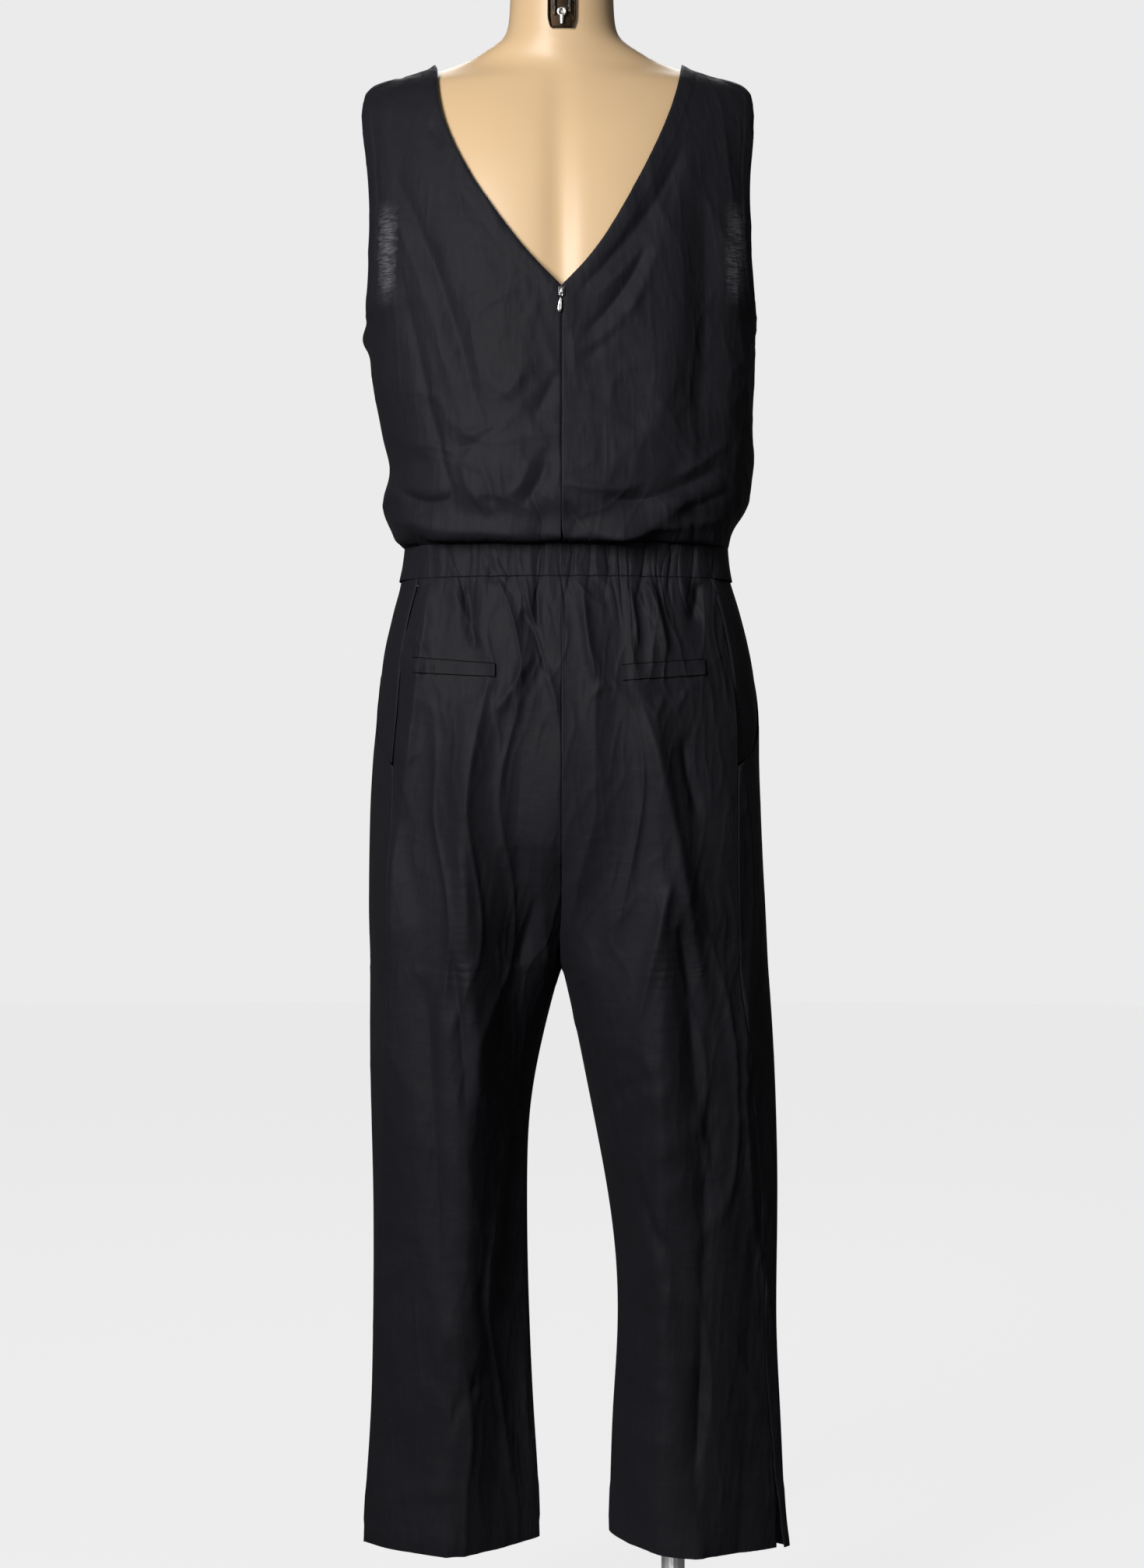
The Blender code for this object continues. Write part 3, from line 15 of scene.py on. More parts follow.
import bmesh
import bpy
import numpy as np
from mathutils import Matrix, Vector, kdtree, noise
from mathutils.bvhtree import BVHTree
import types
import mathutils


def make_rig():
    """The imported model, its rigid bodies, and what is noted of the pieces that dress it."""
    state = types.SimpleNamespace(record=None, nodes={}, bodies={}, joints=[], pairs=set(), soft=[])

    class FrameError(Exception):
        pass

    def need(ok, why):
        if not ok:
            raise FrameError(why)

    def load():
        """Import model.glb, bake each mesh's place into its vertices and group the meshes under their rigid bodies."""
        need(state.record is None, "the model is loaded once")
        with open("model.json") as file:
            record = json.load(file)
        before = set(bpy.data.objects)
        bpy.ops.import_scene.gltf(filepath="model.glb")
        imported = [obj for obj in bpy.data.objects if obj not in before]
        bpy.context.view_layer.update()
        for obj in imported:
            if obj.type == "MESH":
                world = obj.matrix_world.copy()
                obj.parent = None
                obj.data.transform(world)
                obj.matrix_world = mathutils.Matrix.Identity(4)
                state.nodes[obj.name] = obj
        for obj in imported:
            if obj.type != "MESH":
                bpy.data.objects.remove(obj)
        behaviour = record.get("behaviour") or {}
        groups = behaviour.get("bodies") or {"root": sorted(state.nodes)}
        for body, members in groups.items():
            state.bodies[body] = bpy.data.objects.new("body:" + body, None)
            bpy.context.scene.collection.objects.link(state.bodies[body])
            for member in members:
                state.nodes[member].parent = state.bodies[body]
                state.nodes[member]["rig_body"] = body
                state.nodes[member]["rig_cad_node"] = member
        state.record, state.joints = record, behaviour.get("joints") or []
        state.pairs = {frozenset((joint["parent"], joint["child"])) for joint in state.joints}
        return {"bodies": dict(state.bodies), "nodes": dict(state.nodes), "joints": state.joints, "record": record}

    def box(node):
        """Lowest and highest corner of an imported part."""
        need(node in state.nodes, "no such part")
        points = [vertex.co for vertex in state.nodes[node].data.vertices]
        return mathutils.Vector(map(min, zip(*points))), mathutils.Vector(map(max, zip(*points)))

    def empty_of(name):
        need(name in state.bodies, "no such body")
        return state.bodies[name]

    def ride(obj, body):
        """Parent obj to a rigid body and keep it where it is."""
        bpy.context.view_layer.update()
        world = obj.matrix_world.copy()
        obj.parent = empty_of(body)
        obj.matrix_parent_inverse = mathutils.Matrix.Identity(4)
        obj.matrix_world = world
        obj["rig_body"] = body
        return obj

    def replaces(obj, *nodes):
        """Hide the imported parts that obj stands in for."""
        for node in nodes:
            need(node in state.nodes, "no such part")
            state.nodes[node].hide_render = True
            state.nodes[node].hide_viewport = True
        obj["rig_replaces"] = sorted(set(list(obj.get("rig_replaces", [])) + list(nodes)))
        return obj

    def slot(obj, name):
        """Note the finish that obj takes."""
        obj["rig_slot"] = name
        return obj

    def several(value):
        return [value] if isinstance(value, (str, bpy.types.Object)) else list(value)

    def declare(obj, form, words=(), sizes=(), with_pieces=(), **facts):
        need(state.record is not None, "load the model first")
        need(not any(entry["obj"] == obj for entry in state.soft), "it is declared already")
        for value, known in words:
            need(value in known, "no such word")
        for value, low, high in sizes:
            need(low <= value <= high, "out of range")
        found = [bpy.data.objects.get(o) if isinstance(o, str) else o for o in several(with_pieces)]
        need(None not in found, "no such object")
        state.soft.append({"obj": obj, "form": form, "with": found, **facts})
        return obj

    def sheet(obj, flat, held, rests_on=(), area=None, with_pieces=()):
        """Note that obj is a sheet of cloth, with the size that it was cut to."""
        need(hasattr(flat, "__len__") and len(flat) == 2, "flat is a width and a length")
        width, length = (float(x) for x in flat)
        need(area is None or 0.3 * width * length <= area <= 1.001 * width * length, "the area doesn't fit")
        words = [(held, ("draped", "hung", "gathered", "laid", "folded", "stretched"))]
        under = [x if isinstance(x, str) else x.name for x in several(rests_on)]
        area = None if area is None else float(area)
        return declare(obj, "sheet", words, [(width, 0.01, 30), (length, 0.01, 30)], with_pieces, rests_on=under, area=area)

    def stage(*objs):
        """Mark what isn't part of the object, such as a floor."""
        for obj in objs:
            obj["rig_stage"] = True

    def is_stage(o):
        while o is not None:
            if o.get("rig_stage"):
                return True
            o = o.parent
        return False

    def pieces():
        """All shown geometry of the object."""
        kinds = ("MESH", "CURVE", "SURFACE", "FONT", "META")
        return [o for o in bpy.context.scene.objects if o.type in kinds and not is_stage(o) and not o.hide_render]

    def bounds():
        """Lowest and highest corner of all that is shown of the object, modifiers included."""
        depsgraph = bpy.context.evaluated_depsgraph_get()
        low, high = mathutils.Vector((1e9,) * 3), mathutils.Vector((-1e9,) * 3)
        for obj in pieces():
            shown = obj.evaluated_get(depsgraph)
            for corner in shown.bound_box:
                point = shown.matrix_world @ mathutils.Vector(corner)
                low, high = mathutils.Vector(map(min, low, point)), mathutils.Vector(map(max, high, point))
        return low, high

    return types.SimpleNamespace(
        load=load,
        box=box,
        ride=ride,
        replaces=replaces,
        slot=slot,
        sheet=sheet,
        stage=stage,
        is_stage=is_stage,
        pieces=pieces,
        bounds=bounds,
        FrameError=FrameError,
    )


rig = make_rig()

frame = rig.load()
CAD_BOX = [list(corner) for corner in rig.bounds()]
BODY, PULL_BODY = "garment_and_form", "zip_pull_tab"
print("box of the solids:", CAD_BOX)

# %% [markdown]
# ## The camera
#
# A garment on a stand is shown level and from some way back, so that its shoulders and its
# hems keep their true proportions. A wider lens from nearer would swell the seat, and a
# longer one from further off would hide the depth of the legs. This one stands three metres
# behind the wearer, at half the height of what it frames.

# %% Camera
CAMERA_PLACE = (-0.0096, 3.0, 0.8188)
FRAMED_HEIGHT = 1.4803  # from the top to the bottom of the frame, at the side seams
SENSOR = 36.0  # the frame's long side, in millimetres

camera = bpy.data.objects.new("camera", bpy.data.cameras.new("camera"))
camera.data.sensor_width = SENSOR
camera.data.lens = SENSOR * CAMERA_PLACE[1] / FRAMED_HEIGHT
camera.location = CAMERA_PLACE
camera.rotation_euler = (math.pi / 2, 0, math.pi)
bpy.context.scene.collection.objects.link(camera)
bpy.context.scene.camera = camera
bpy.context.scene.view_settings.view_transform = "Standard"
print("lens", round(camera.data.lens, 2), "mm")

# %% [markdown]
# ## Shader maths as plain expressions
#
# A shader is a graph of small nodes. They could be added and wired one by one, but then a
# formula of five terms takes twenty lines. A class that wraps one socket and overloads + - *
# lets a formula be written as a formula, and the class adds the Math nodes.


# %% A socket that can be calculated with
class Value:
    def __init__(self, paint, socket):
        self.paint, self.socket = paint, socket

    def math(self, operation, *others):
        return self.paint.node("ShaderNodeMath", {"operation": operation}, [self, *others])

    def __add__(self, other):
        return self.math("ADD", other)

    def __sub__(self, other):
        return self.math("SUBTRACT", other)

    def __mul__(self, other):
        return self.math("MULTIPLY", other)

    def __rsub__(self, other):
        return self.paint.node("ShaderNodeMath", {"operation": "SUBTRACT"}, [other, self])

    __radd__, __rmul__ = __add__, __mul__

    def clamp(self):
        return self.paint.node("ShaderNodeClamp", {}, {"Value": self}, "Result")


# %% One material
MIX_COLOUR_INPUTS, MIX_COLOUR_OUTPUT = (0, 6, 7), 2  # a Mix node's sockets for colours


class Paint:
    """One material. Its constants sit on the shader's own sockets."""

    def __init__(self, name, **constants):
        self.material = bpy.data.materials.new(name)
        self.material.use_nodes = True
        self.tree = self.material.node_tree
        self.shader = self.tree.nodes["Principled BSDF"]
        for socket, value in constants.items():
            self.shader.inputs[socket.replace("_", " ")].default_value = value

    def link(self, socket, value):
        if isinstance(value, Value):
            self.tree.links.new(value.socket, socket)
        else:
            socket.default_value = value

    def node(self, kind, settings, inputs=(), output=0):
        """Adds a node: first its settings, then the values or links of its sockets."""
        made = self.tree.nodes.new(kind)
        for name, value in settings.items():
            setattr(made, name, value)
        items = inputs.items() if isinstance(inputs, dict) else enumerate(inputs)
        for name, value in items:
            self.link(made.inputs[name], value)
        return Value(self, made.outputs[output])

    def feed(self, **sockets):
        for name, value in sockets.items():
            self.link(self.shader.inputs[name.replace("_", " ")], value)

    def noise(self, place, scale, detail=2.0, roughness=0.5):
        inputs = {"Vector": place, "Scale": scale, "Detail": detail, "Roughness": roughness}
        return self.node("ShaderNodeTexNoise", {}, inputs, "Fac")

    def stretch(self, place, scale):
        return self.node("ShaderNodeMapping", {}, {"Vector": place, "Scale": scale})

    def blend(self, share, first, second):
        """From the first colour to the second. A colour is three numbers or a socket."""
        colours = [c if isinstance(c, Value) else (*c, 1.0) for c in (first, second)]
        inputs = dict(zip(MIX_COLOUR_INPUTS, (share, *colours)))
        return self.node("ShaderNodeMix", {"data_type": "RGBA"}, inputs, MIX_COLOUR_OUTPUT)

    def bump(self, height, strength, distance, over=None):
        inputs = {"Height": height, "Strength": strength, "Distance": distance}
        if over:
            inputs["Normal"] = over
        return self.node("ShaderNodeBump", {}, inputs)

    def part(self, vector, axis):
        return self.node("ShaderNodeSeparateXYZ", {}, {"Vector": vector}, axis)

    def object_place(self):
        return self.node("ShaderNodeTexCoord", {}, (), "Object")


# %% [markdown]
# ## The cloth
#
# The cloth is a plain weave of fine black yarn. It has slubs, a few specks of lint, and a
# strip beside each armhole where the threads are drawn apart. There the light that would come
# through is painted into the colour as a lighter grey, on the back only. A picture of cloth
# could carry this, but it would blur from near, so each thread comes from a formula. The
# threads follow the cut: they read the UV map that flattening a panel makes, which is in
# metres.


# %% Threads and slubs
THREAD = 0.00042  # from one thread to the next
SLUBS_ACROSS, SLUBS_ALONG = (60.0, 1800.0, 1.0), (1800.0, 45.0, 1.0)


def weave_height(paint, place):
    across, along = paint.part(place, "X"), paint.part(place, "Y")
    turn = math.pi / THREAD
    return (across * turn).math("SINE") * (along * turn).math("SINE")


print("cloth:", round(0.01 / THREAD), "threads a centimetre")

# %% Sheer strips of painted light, lint and crumples
# The sheer strips are painted light: a lighter grey where light would come through one layer
SHEER_PAINTED_LIGHT = (0.064, 0.064, 0.068)  # one layer with the light behind it
SHEER_X, SHEER_Z = 0.1610, 1.309  # the middle of each strip, beside the armhole
SHEER_FADE_X, SHEER_FADE_Z = 95, 20  # how fast a strip fades, a metre
SHEER_BEHIND = 60  # and how fast it comes in behind the side
DRAWN_THREADS, RAGGED_EDGE = (90, 90, 900), 160.0  # how often each repeats, a metre
DRAWN_CRISP, DRAWN_RARE, ENDS_CRISP = 2.6, 0.8, 2

LINT = (0.30, 0.30, 0.29)
LINT_CELLS, LINT_SMALL = 38.0, 30
LINT_RARE, LINT_CRISP = 0.965, 60

CRUMPLES_DOWN, CRUMPLES_ACROSS = (30, 8, 1), (16, 34, 1)
CRUMPLE_THIN, CRUMPLE_SHARE = 9, 0.35


def painted_sheer_light(paint, place):
    """Painted light: lighter strips beside both armholes, where their threads are drawn apart."""
    out = (paint.part(place, "X").math("ABSOLUTE") - SHEER_X).math("ABSOLUTE")
    up = (paint.part(place, "Z") - SHEER_Z).math("ABSOLUTE")
    beside, tall = 1 - out * SHEER_FADE_X, 1 - up * SHEER_FADE_Z
    threads = paint.noise(paint.stretch(place, DRAWN_THREADS), 1.0, 3.0)
    ragged = paint.noise(place, RAGGED_EDGE, 2.0)
    behind = (paint.part(place, "Y") * SHEER_BEHIND).clamp()
    strip = (beside + ragged - 0.5).clamp() * (tall * ENDS_CRISP).clamp()
    return strip * behind * (threads * DRAWN_CRISP - DRAWN_RARE).clamp()


def lint_specks(paint, cut):
    """Sparse specks of lint, one in a few dozen cells of a cell pattern."""
    cells = {"Vector": cut, "Scale": LINT_CELLS}
    away = paint.node("ShaderNodeTexVoronoi", {}, cells, "Distance")
    chance = paint.part(paint.node("ShaderNodeTexVoronoi", {}, cells, "Color"), "X")
    return (1 - away * LINT_SMALL).clamp() * ((chance - LINT_RARE) * LINT_CRISP).clamp()


def crumple_height(paint, cut):
    """Crests of small crumples: long ones down the cut, and shorter ones across them."""
    noises = [
        paint.noise(paint.stretch(cut, scale), 1.0, 3.0)
        for scale in (CRUMPLES_DOWN, CRUMPLES_ACROSS)
    ]
    crests = [(1 - (each - 0.5).math("ABSOLUTE") * CRUMPLE_THIN).clamp() for each in noises]
    return crests[0] + crests[1] * CRUMPLE_SHARE


# %% Cloth material
CLOTH_DARK, CLOTH_LIGHT = (0.0042, 0.0042, 0.0054), (0.0088, 0.0088, 0.0113)
CLOTH_ROUGH, CLOTH_CLOUD = 0.56, 14.0
SLUB_SHADE, CLOUD_SHADE, SHADE_LESS = 0.45, 0.5, 0.2  # what each does to the colour
WEAVE_RISE, SLUB_RISE = 0.5, 0.6  # to the height of the yarn
SLUB_ROUGH, WEAVE_SMOOTH = 0.16, 0.04  # and to the roughness
WEAVE_BUMP, CRUMPLE_BUMP = (0.35, 0.00012), (0.3, 0.0016)  # strength and distance


def cloth_paint(name, lightness=1.0, cut_map="Cut"):
    """Cloth that follows a cut, or that follows the object where it has no cut."""
    paint = Paint(
        name,
        Specular_IOR_Level=0.07,
        Sheen_Weight=0.006,
        Sheen_Roughness=0.45,
        Sheen_Tint=(0.75, 0.78, 0.85, 1.0),
    )
    place = paint.object_place()
    cut = paint.node("ShaderNodeUVMap", {"uv_map": cut_map}) if cut_map else place
    weave = weave_height(paint, cut)
    slub_across = paint.noise(paint.stretch(cut, SLUBS_ACROSS), 1.0)
    slub_along = paint.noise(paint.stretch(cut, SLUBS_ALONG), 1.0)
    cloud = paint.noise(place, CLOTH_CLOUD, 3.0)
    slubs = slub_across * SLUB_SHADE + slub_along * SLUB_SHADE
    shade = (slubs + cloud * CLOUD_SHADE - SHADE_LESS).clamp()
    dark = [part * lightness for part in CLOTH_DARK]
    light = [part * lightness for part in CLOTH_LIGHT]
    colour = paint.blend(shade, dark, light)
    if cut_map:
        # Painted light: the sheer strips lighten the colour where light would come through
        colour = paint.blend(painted_sheer_light(paint, place), colour, SHEER_PAINTED_LIGHT)
        colour = paint.blend(lint_specks(paint, cut), colour, LINT)
    yarn = weave * WEAVE_RISE + slub_across * SLUB_RISE + slub_along * SLUB_RISE
    crumpled = paint.bump(crumple_height(paint, cut), *CRUMPLE_BUMP)
    paint.feed(
        Base_Color=colour,
        Roughness=(CLOTH_ROUGH + slub_along * SLUB_ROUGH - weave * WEAVE_SMOOTH).clamp(),
        Normal=paint.bump(yarn, *WEAVE_BUMP, over=crumpled),
    )
    return paint.material


CLOTH = cloth_paint("black woven cloth")
# The lining is painted shade: far darker than the cloth, for the shadow in a pocket's slot
LINING_PAINTED_SHADE = cloth_paint("pocket lining of painted shade", lightness=0.15)
print("cloth materials:", CLOTH.name, "and", LINING_PAINTED_SHADE.name)

# %% [markdown]
# ## From a solid panel back to its cloth
#
# A panel is one layer of cloth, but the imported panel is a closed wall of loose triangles. The
# cloth could be drawn afresh, but then it would drift from the solids. So the wall's points
# are merged, its faces are parted at the sharp edges of the rim, and the part that faces
# outwards is the cloth. Pairs of triangles are joined to quads, because a subdivision surface
# runs smoothly only on quads.

# %% The outer face of a panel
MERGE = 1e-5
RIM_TURN = math.radians(50)  # the least turn between a panel's face and its rim
JOIN_TURN = math.radians(80)


def smooth_parts(bm):
    """Faces grouped so that no group bends sharply."""
    left = set(bm.faces)
    while left:
        part = {left.pop()}
        waiting = list(part)
        while waiting:
            for edge in waiting.pop().edges:
                if edge.calc_face_angle(math.pi) < RIM_TURN:
                    new = left.intersection(edge.link_faces)
                    left -= new
                    part |= new
                    waiting += new
        yield part


def outer_face(node, toward):
    bm = bmesh.new()
    bm.from_mesh(frame["nodes"][node].data)
    bmesh.ops.remove_doubles(bm, verts=bm.verts, dist=MERGE)
    toward = Vector(toward)
    outer = max(
        smooth_parts(bm),
        key=lambda part: sum(face.calc_area() * face.normal.dot(toward) for face in part),
    )
    rest = [face for face in bm.faces if face not in outer]
    bmesh.ops.delete(bm, geom=rest, context="FACES")
    bmesh.ops.join_triangles(
        bm, faces=bm.faces, angle_face_threshold=JOIN_TURN, angle_shape_threshold=JOIN_TURN
    )
    return bm


def made_object(name, bm, material):
    mesh = bpy.data.meshes.new(name)
    bm.to_mesh(mesh)
    bm.free()
    mesh.materials.append(material)
    mesh.shade_smooth()
    obj = bpy.data.objects.new(name, mesh)
    bpy.context.scene.collection.objects.link(obj)
    return obj


# %% [markdown]
# ## Flattening a panel
#
# A cutter works from flat paper patterns. A pattern could be worked out from measures of the
# body, but Blender's unwrap lays a curved sheet flat with little stretch, which is the same
# thing the other way round. Its scale is set from the cloth's own area, and it is turned so
# that the threads run down the garment. The flat outline is the size the cloth is cut to.

# %% The cut of a panel
Cut = namedtuple("Cut", "width length area")


def flatten(obj):
    """Lays the cloth flat as the UV map "Cut", in metres, and measures it."""
    bpy.ops.object.select_all(action="DESELECT")
    obj.select_set(True)
    bpy.context.view_layer.objects.active = obj
    obj.data.uv_layers.new(name="Cut")
    bpy.ops.object.mode_set(mode="EDIT")
    bpy.ops.mesh.select_all(action="SELECT")
    bpy.ops.uv.unwrap(method="ANGLE_BASED", margin=0)
    bpy.ops.object.mode_set(mode="OBJECT")
    mesh = obj.data
    flat = np.empty(len(mesh.loops) * 2, np.float32)
    mesh.uv_layers["Cut"].data.foreach_get("uv", flat)
    flat = flat.reshape(-1, 2).astype(float)
    vertex = np.empty(len(mesh.loops), np.int32)
    mesh.loops.foreach_get("vertex_index", vertex)
    heights = np.array([v.co.z for v in mesh.vertices])[vertex]
    areas = [0.0, 0.0]
    for face in mesh.polygons:
        corners = flat[list(face.loop_indices)]
        x, y = corners.T
        areas[0] += (np.dot(x, np.roll(y, -1)) - np.dot(y, np.roll(x, -1))) / 2
        areas[1] += face.area
    flat *= math.sqrt(areas[1] / abs(areas[0]))
    flat[:, 0] *= math.copysign(1, areas[0])
    fit = np.linalg.lstsq(np.c_[flat, np.ones(len(flat))], heights, rcond=None)[0][:2]
    up = fit / np.linalg.norm(fit)
    flat = flat @ np.array([[up[1], up[0]], [-up[0], up[1]]])
    mesh.uv_layers["Cut"].data.foreach_set("uv", flat.astype(np.float32).ravel())
    width, length = flat.max(0) - flat.min(0)
    return Cut(float(width), float(length), float(areas[1]))


# %% Corners and smoothing
CORNER_TURN = math.radians(35)


def keep_corners(obj):
    """Marks the free edge's corners, so that smoothing keeps them sharp."""
    bm = bmesh.new()
    bm.from_mesh(obj.data)
    sharp = bm.verts.layers.float.new("crease_vert")
    for vertex in bm.verts:
        ends = [edge.other_vert(vertex).co for edge in vertex.link_edges if edge.is_boundary]
        if len(ends) == 2 and (vertex.co - ends[0]).angle(ends[1] - vertex.co) > CORNER_TURN:
            vertex[sharp] = 1.0
    bm.to_mesh(obj.data)
    bm.free()


def refine(obj, levels):
    """Applies a subdivision surface."""
    smooth = obj.modifiers.new("smooth", "SUBSURF")
    smooth.levels = smooth.render_levels = levels
    smooth.boundary_smooth = "PRESERVE_CORNERS"
    graph = bpy.context.evaluated_depsgraph_get()
    mesh = bpy.data.meshes.new_from_object(obj.evaluated_get(graph))
    obj.modifiers.clear()
    old, obj.data = obj.data, mesh
    bpy.data.meshes.remove(old)


# %% [markdown]
# ## Creases
#
# Fine cloth keeps the creases of packing and wear, and it strains between the points that hold
# it. A cloth simulation would give likely folds, but not these folds. So each crease is a row
# here: how far it lifts or sinks the cloth, how fast it fades to each side, and its top,
# middle and foot on the back or the front, all in millimetres.

# %% Creases of the bodice's back
Crease = namedtuple("Crease", "lift reach top_x top_z mid_x mid_z foot_x foot_z")

BODICE_BACK_CREASES = (
    Crease(-3.0, 8, 157, 1385, 110, 1274, 69, 1129),
    Crease(1.5, 8, 168, 1370, 126, 1270, 84, 1125),
    Crease(-2.5, 6, 146, 1284, 117, 1150, 107, 1124),
    Crease(-2.0, 5, 121, 1429, 115, 1417, 109, 1405),
    Crease(-4.0, 7, -114, 1412, -76, 1336, -16, 1268),
    Crease(-2.5, 7, -106, 1376, -86, 1330, -44, 1280),
    Crease(2.0, 6, -98, 1352, -72, 1308, -30, 1258),
    Crease(-3.4, 5, -77, 1310, -56, 1268, -19, 1224),
    Crease(1.8, 6, -92, 1318, -66, 1258, -30, 1212),
    Crease(-1.8, 5, -60, 1250, -46, 1226, -14, 1200),
    Crease(-5.0, 20, -128, 1390, -134, 1260, -124, 1120),
    Crease(3.0, 22, -94, 1240, -92, 1180, -84, 1120),
    Crease(-2.5, 6, 5, 1193, 13, 1172, 28, 1150),
    Crease(2.2, 7, 30, 1200, 41, 1184, 54, 1170),
    Crease(-3.0, 6, 158, 1100, 128, 1078, 96, 1082),
    Crease(-2.6, 5, 110, 1122, 104, 1098, 98, 1080),
    Crease(2.6, 7, 90, 1112, 82, 1086, 66, 1062),
    Crease(-2.2, 5, 78, 1116, 66, 1090, 64, 1072),
    Crease(1.8, 6, 140, 1130, 118, 1128, 92, 1118),
    Crease(2.0, 6, 60, 1150, 74, 1140, 96, 1136),
    Crease(-1.6, 5, 64, 1136, 82, 1126, 98, 1126),
    Crease(-3.2, 6, 16, 1124, 18, 1098, 38, 1070),
    Crease(2.4, 6, 30, 1116, 34, 1096, 50, 1078),
    Crease(-2.0, 4, 26, 1082, 22, 1068, 12, 1052),
    Crease(2.6, 6, -4, 1092, -40, 1086, -76, 1092),
    Crease(-2.4, 5, -4, 1076, -12, 1062, -24, 1056),
    Crease(4.0, 8, -14, 1060, -70, 1056, -122, 1082),
    Crease(-4.2, 7, -40, 1080, -84, 1080, -150, 1112),
    Crease(-2.4, 6, -96, 1068, -126, 1074, -158, 1092),
    Crease(-2.0, 4, -118, 1062, -118, 1052, -115, 1044),
    Crease(2.0, 6, -100, 1098, -126, 1112, -156, 1136),
    Crease(5.0, 8, 164, 1066, 100, 1057, 18, 1053),
    Crease(3.6, 7, 24, 1054, -30, 1050, -80, 1054),
    Crease(4.0, 7, -60, 1054, -115, 1060, -164, 1066),
)

print("bodice back:", len(BODICE_BACK_CREASES), "creases")

# %% Creases of the trousers' back
TROUSER_BACK_CREASES = (
    Crease(6.0, 26, 84, 900, 90, 640, 82, 90),
    Crease(5.5, 24, -84, 900, -92, 640, -92, 90),
    Crease(-5.0, 18, -136, 560, -130, 320, -122, 100),
    Crease(-4.0, 22, 36, 900, 40, 700, 44, 560),
    Crease(3.0, 7, 122, 1006, 131, 916, 150, 783),
    Crease(2.5, 9, 150, 783, 155, 739, 157, 647),
    Crease(-3.0, 6, 87, 1000, 83, 969, 79, 941),
    Crease(-3.0, 6, 36, 978, 23, 954, 13, 918),
    Crease(-2.0, 4, 23, 998, 22, 980, 22, 959),
    Crease(3.0, 6, 26, 938, 43, 909, 60, 882),
    Crease(2.5, 5, -20, 1001, -23, 959, -32, 911),
    Crease(2.0, 5, -63, 998, -66, 969, -70, 941),
    Crease(3.0, 5, -76, 1006, -89, 972, -97, 936),
    Crease(-3.0, 6, -127, 1006, -125, 987, -122, 967),
    Crease(1.5, 4, -24, 895, -37, 907, -44, 901),
    Crease(4.0, 8, -73, 893, -101, 781, -137, 594),
    Crease(3.0, 6, -101, 724, -90, 690, -68, 581),
    Crease(1.5, 4, -94, 900, -89, 889, -84, 877),
    Crease(-2.5, 6, -112, 860, -117, 824, -127, 788),
    Crease(1.5, 4, -104, 885, -110, 896, -116, 906),
    Crease(3.0, 12, 72, 902, 86, 795, 84, 661),
    Crease(3.0, 12, 84, 661, 79, 596, 72, 539),
    Crease(-3.0, 6, 100, 667, 91, 586, 89, 518),
    Crease(-3.0, 12, 128, 647, 118, 516, 112, 349),
    Crease(-2.5, 7, 21, 716, 29, 683, 36, 650),
    Crease(-1.5, 6, 53, 653, 54, 611, 54, 570),
    Crease(-2.0, 8, 78, 360, 71, 319, 66, 280),
    Crease(-1.2, 6, 55, 467, 55, 431, 56, 398),
    Crease(-2.0, 5, 64, 270, 86, 262, 104, 220),
    Crease(-4.0, 9, -105, 690, -115, 636, -126, 516),
    Crease(-3.0, 6, -47, 527, -65, 541, -103, 554),
    Crease(-1.5, 4, -36, 513, -40, 519, -44, 525),
    Crease(-1.5, 4, -19, 639, -23, 598, -28, 557),
    Crease(1.5, 5, -39, 511, -46, 480, -53, 449),
    Crease(-3.0, 7, -81, 434, -87, 409, -130, 340),
    Crease(2.0, 5, -126, 508, -133, 482, -140, 452),
    Crease(1.5, 5, -74, 473, -78, 458, -82, 443),
    Crease(2.0, 7, -103, 357, -99, 322, -95, 288),
    Crease(-2.5, 9, -129, 280, -124, 221, -121, 165),
)

print("trouser backs:", len(TROUSER_BACK_CREASES), "creases")

# %% Gathers at the elastic
# Each gather's x, and how far it lifts the cloth of the waistband and just below it
GATHERS = (
    (121, 1.6), (108, -1.8), (97, 1.2), (86, -1.6), (79, -2.4), (72, 1.8), (66, -1.4), (57, 1.5),
    (49, -1.8), (38, 1.0), (27, 1.6), (20, -2.6), (12, 1.4), (-7, -2.6), (-15, 1.8), (-25, -1.6),
    (-33, 1.4), (-42, -2.0), (-52, 1.2), (-61, 2.2), (-73, -2.8), (-86, 1.4), (-99, -1.8),
    (-110, 1.3), (-120, -2.0), (-127, 1.5), (-140, -1.2), (134, -1.0),
)
PINCH, PUFF = 2.0, 4.5  # a gather sinks narrowly and rises broadly
GATHER_LIFT = 0.55
GATHER_TOP, GATHER_MIDDLE, GATHER_FOOT = 1052, 1024, 984
FRONT_SHIFT = 5  # the front's gathers are the back's, seen in a mirror and shifted


def gather(x, lift):
    reach = PINCH if lift < 0 else PUFF
    middle, foot = (x + lift, GATHER_MIDDLE), (x - 2 * lift, GATHER_FOOT)
    return Crease(GATHER_LIFT * lift, reach, x, GATHER_TOP, *middle, *foot)


GATHERS_BACK = tuple(gather(x, lift) for x, lift in GATHERS)
GATHERS_FRONT = tuple(gather(FRONT_SHIFT - x, lift) for x, lift in GATHERS)
print("elastic:", len(GATHERS), "gathers on the back, and as many on the front")

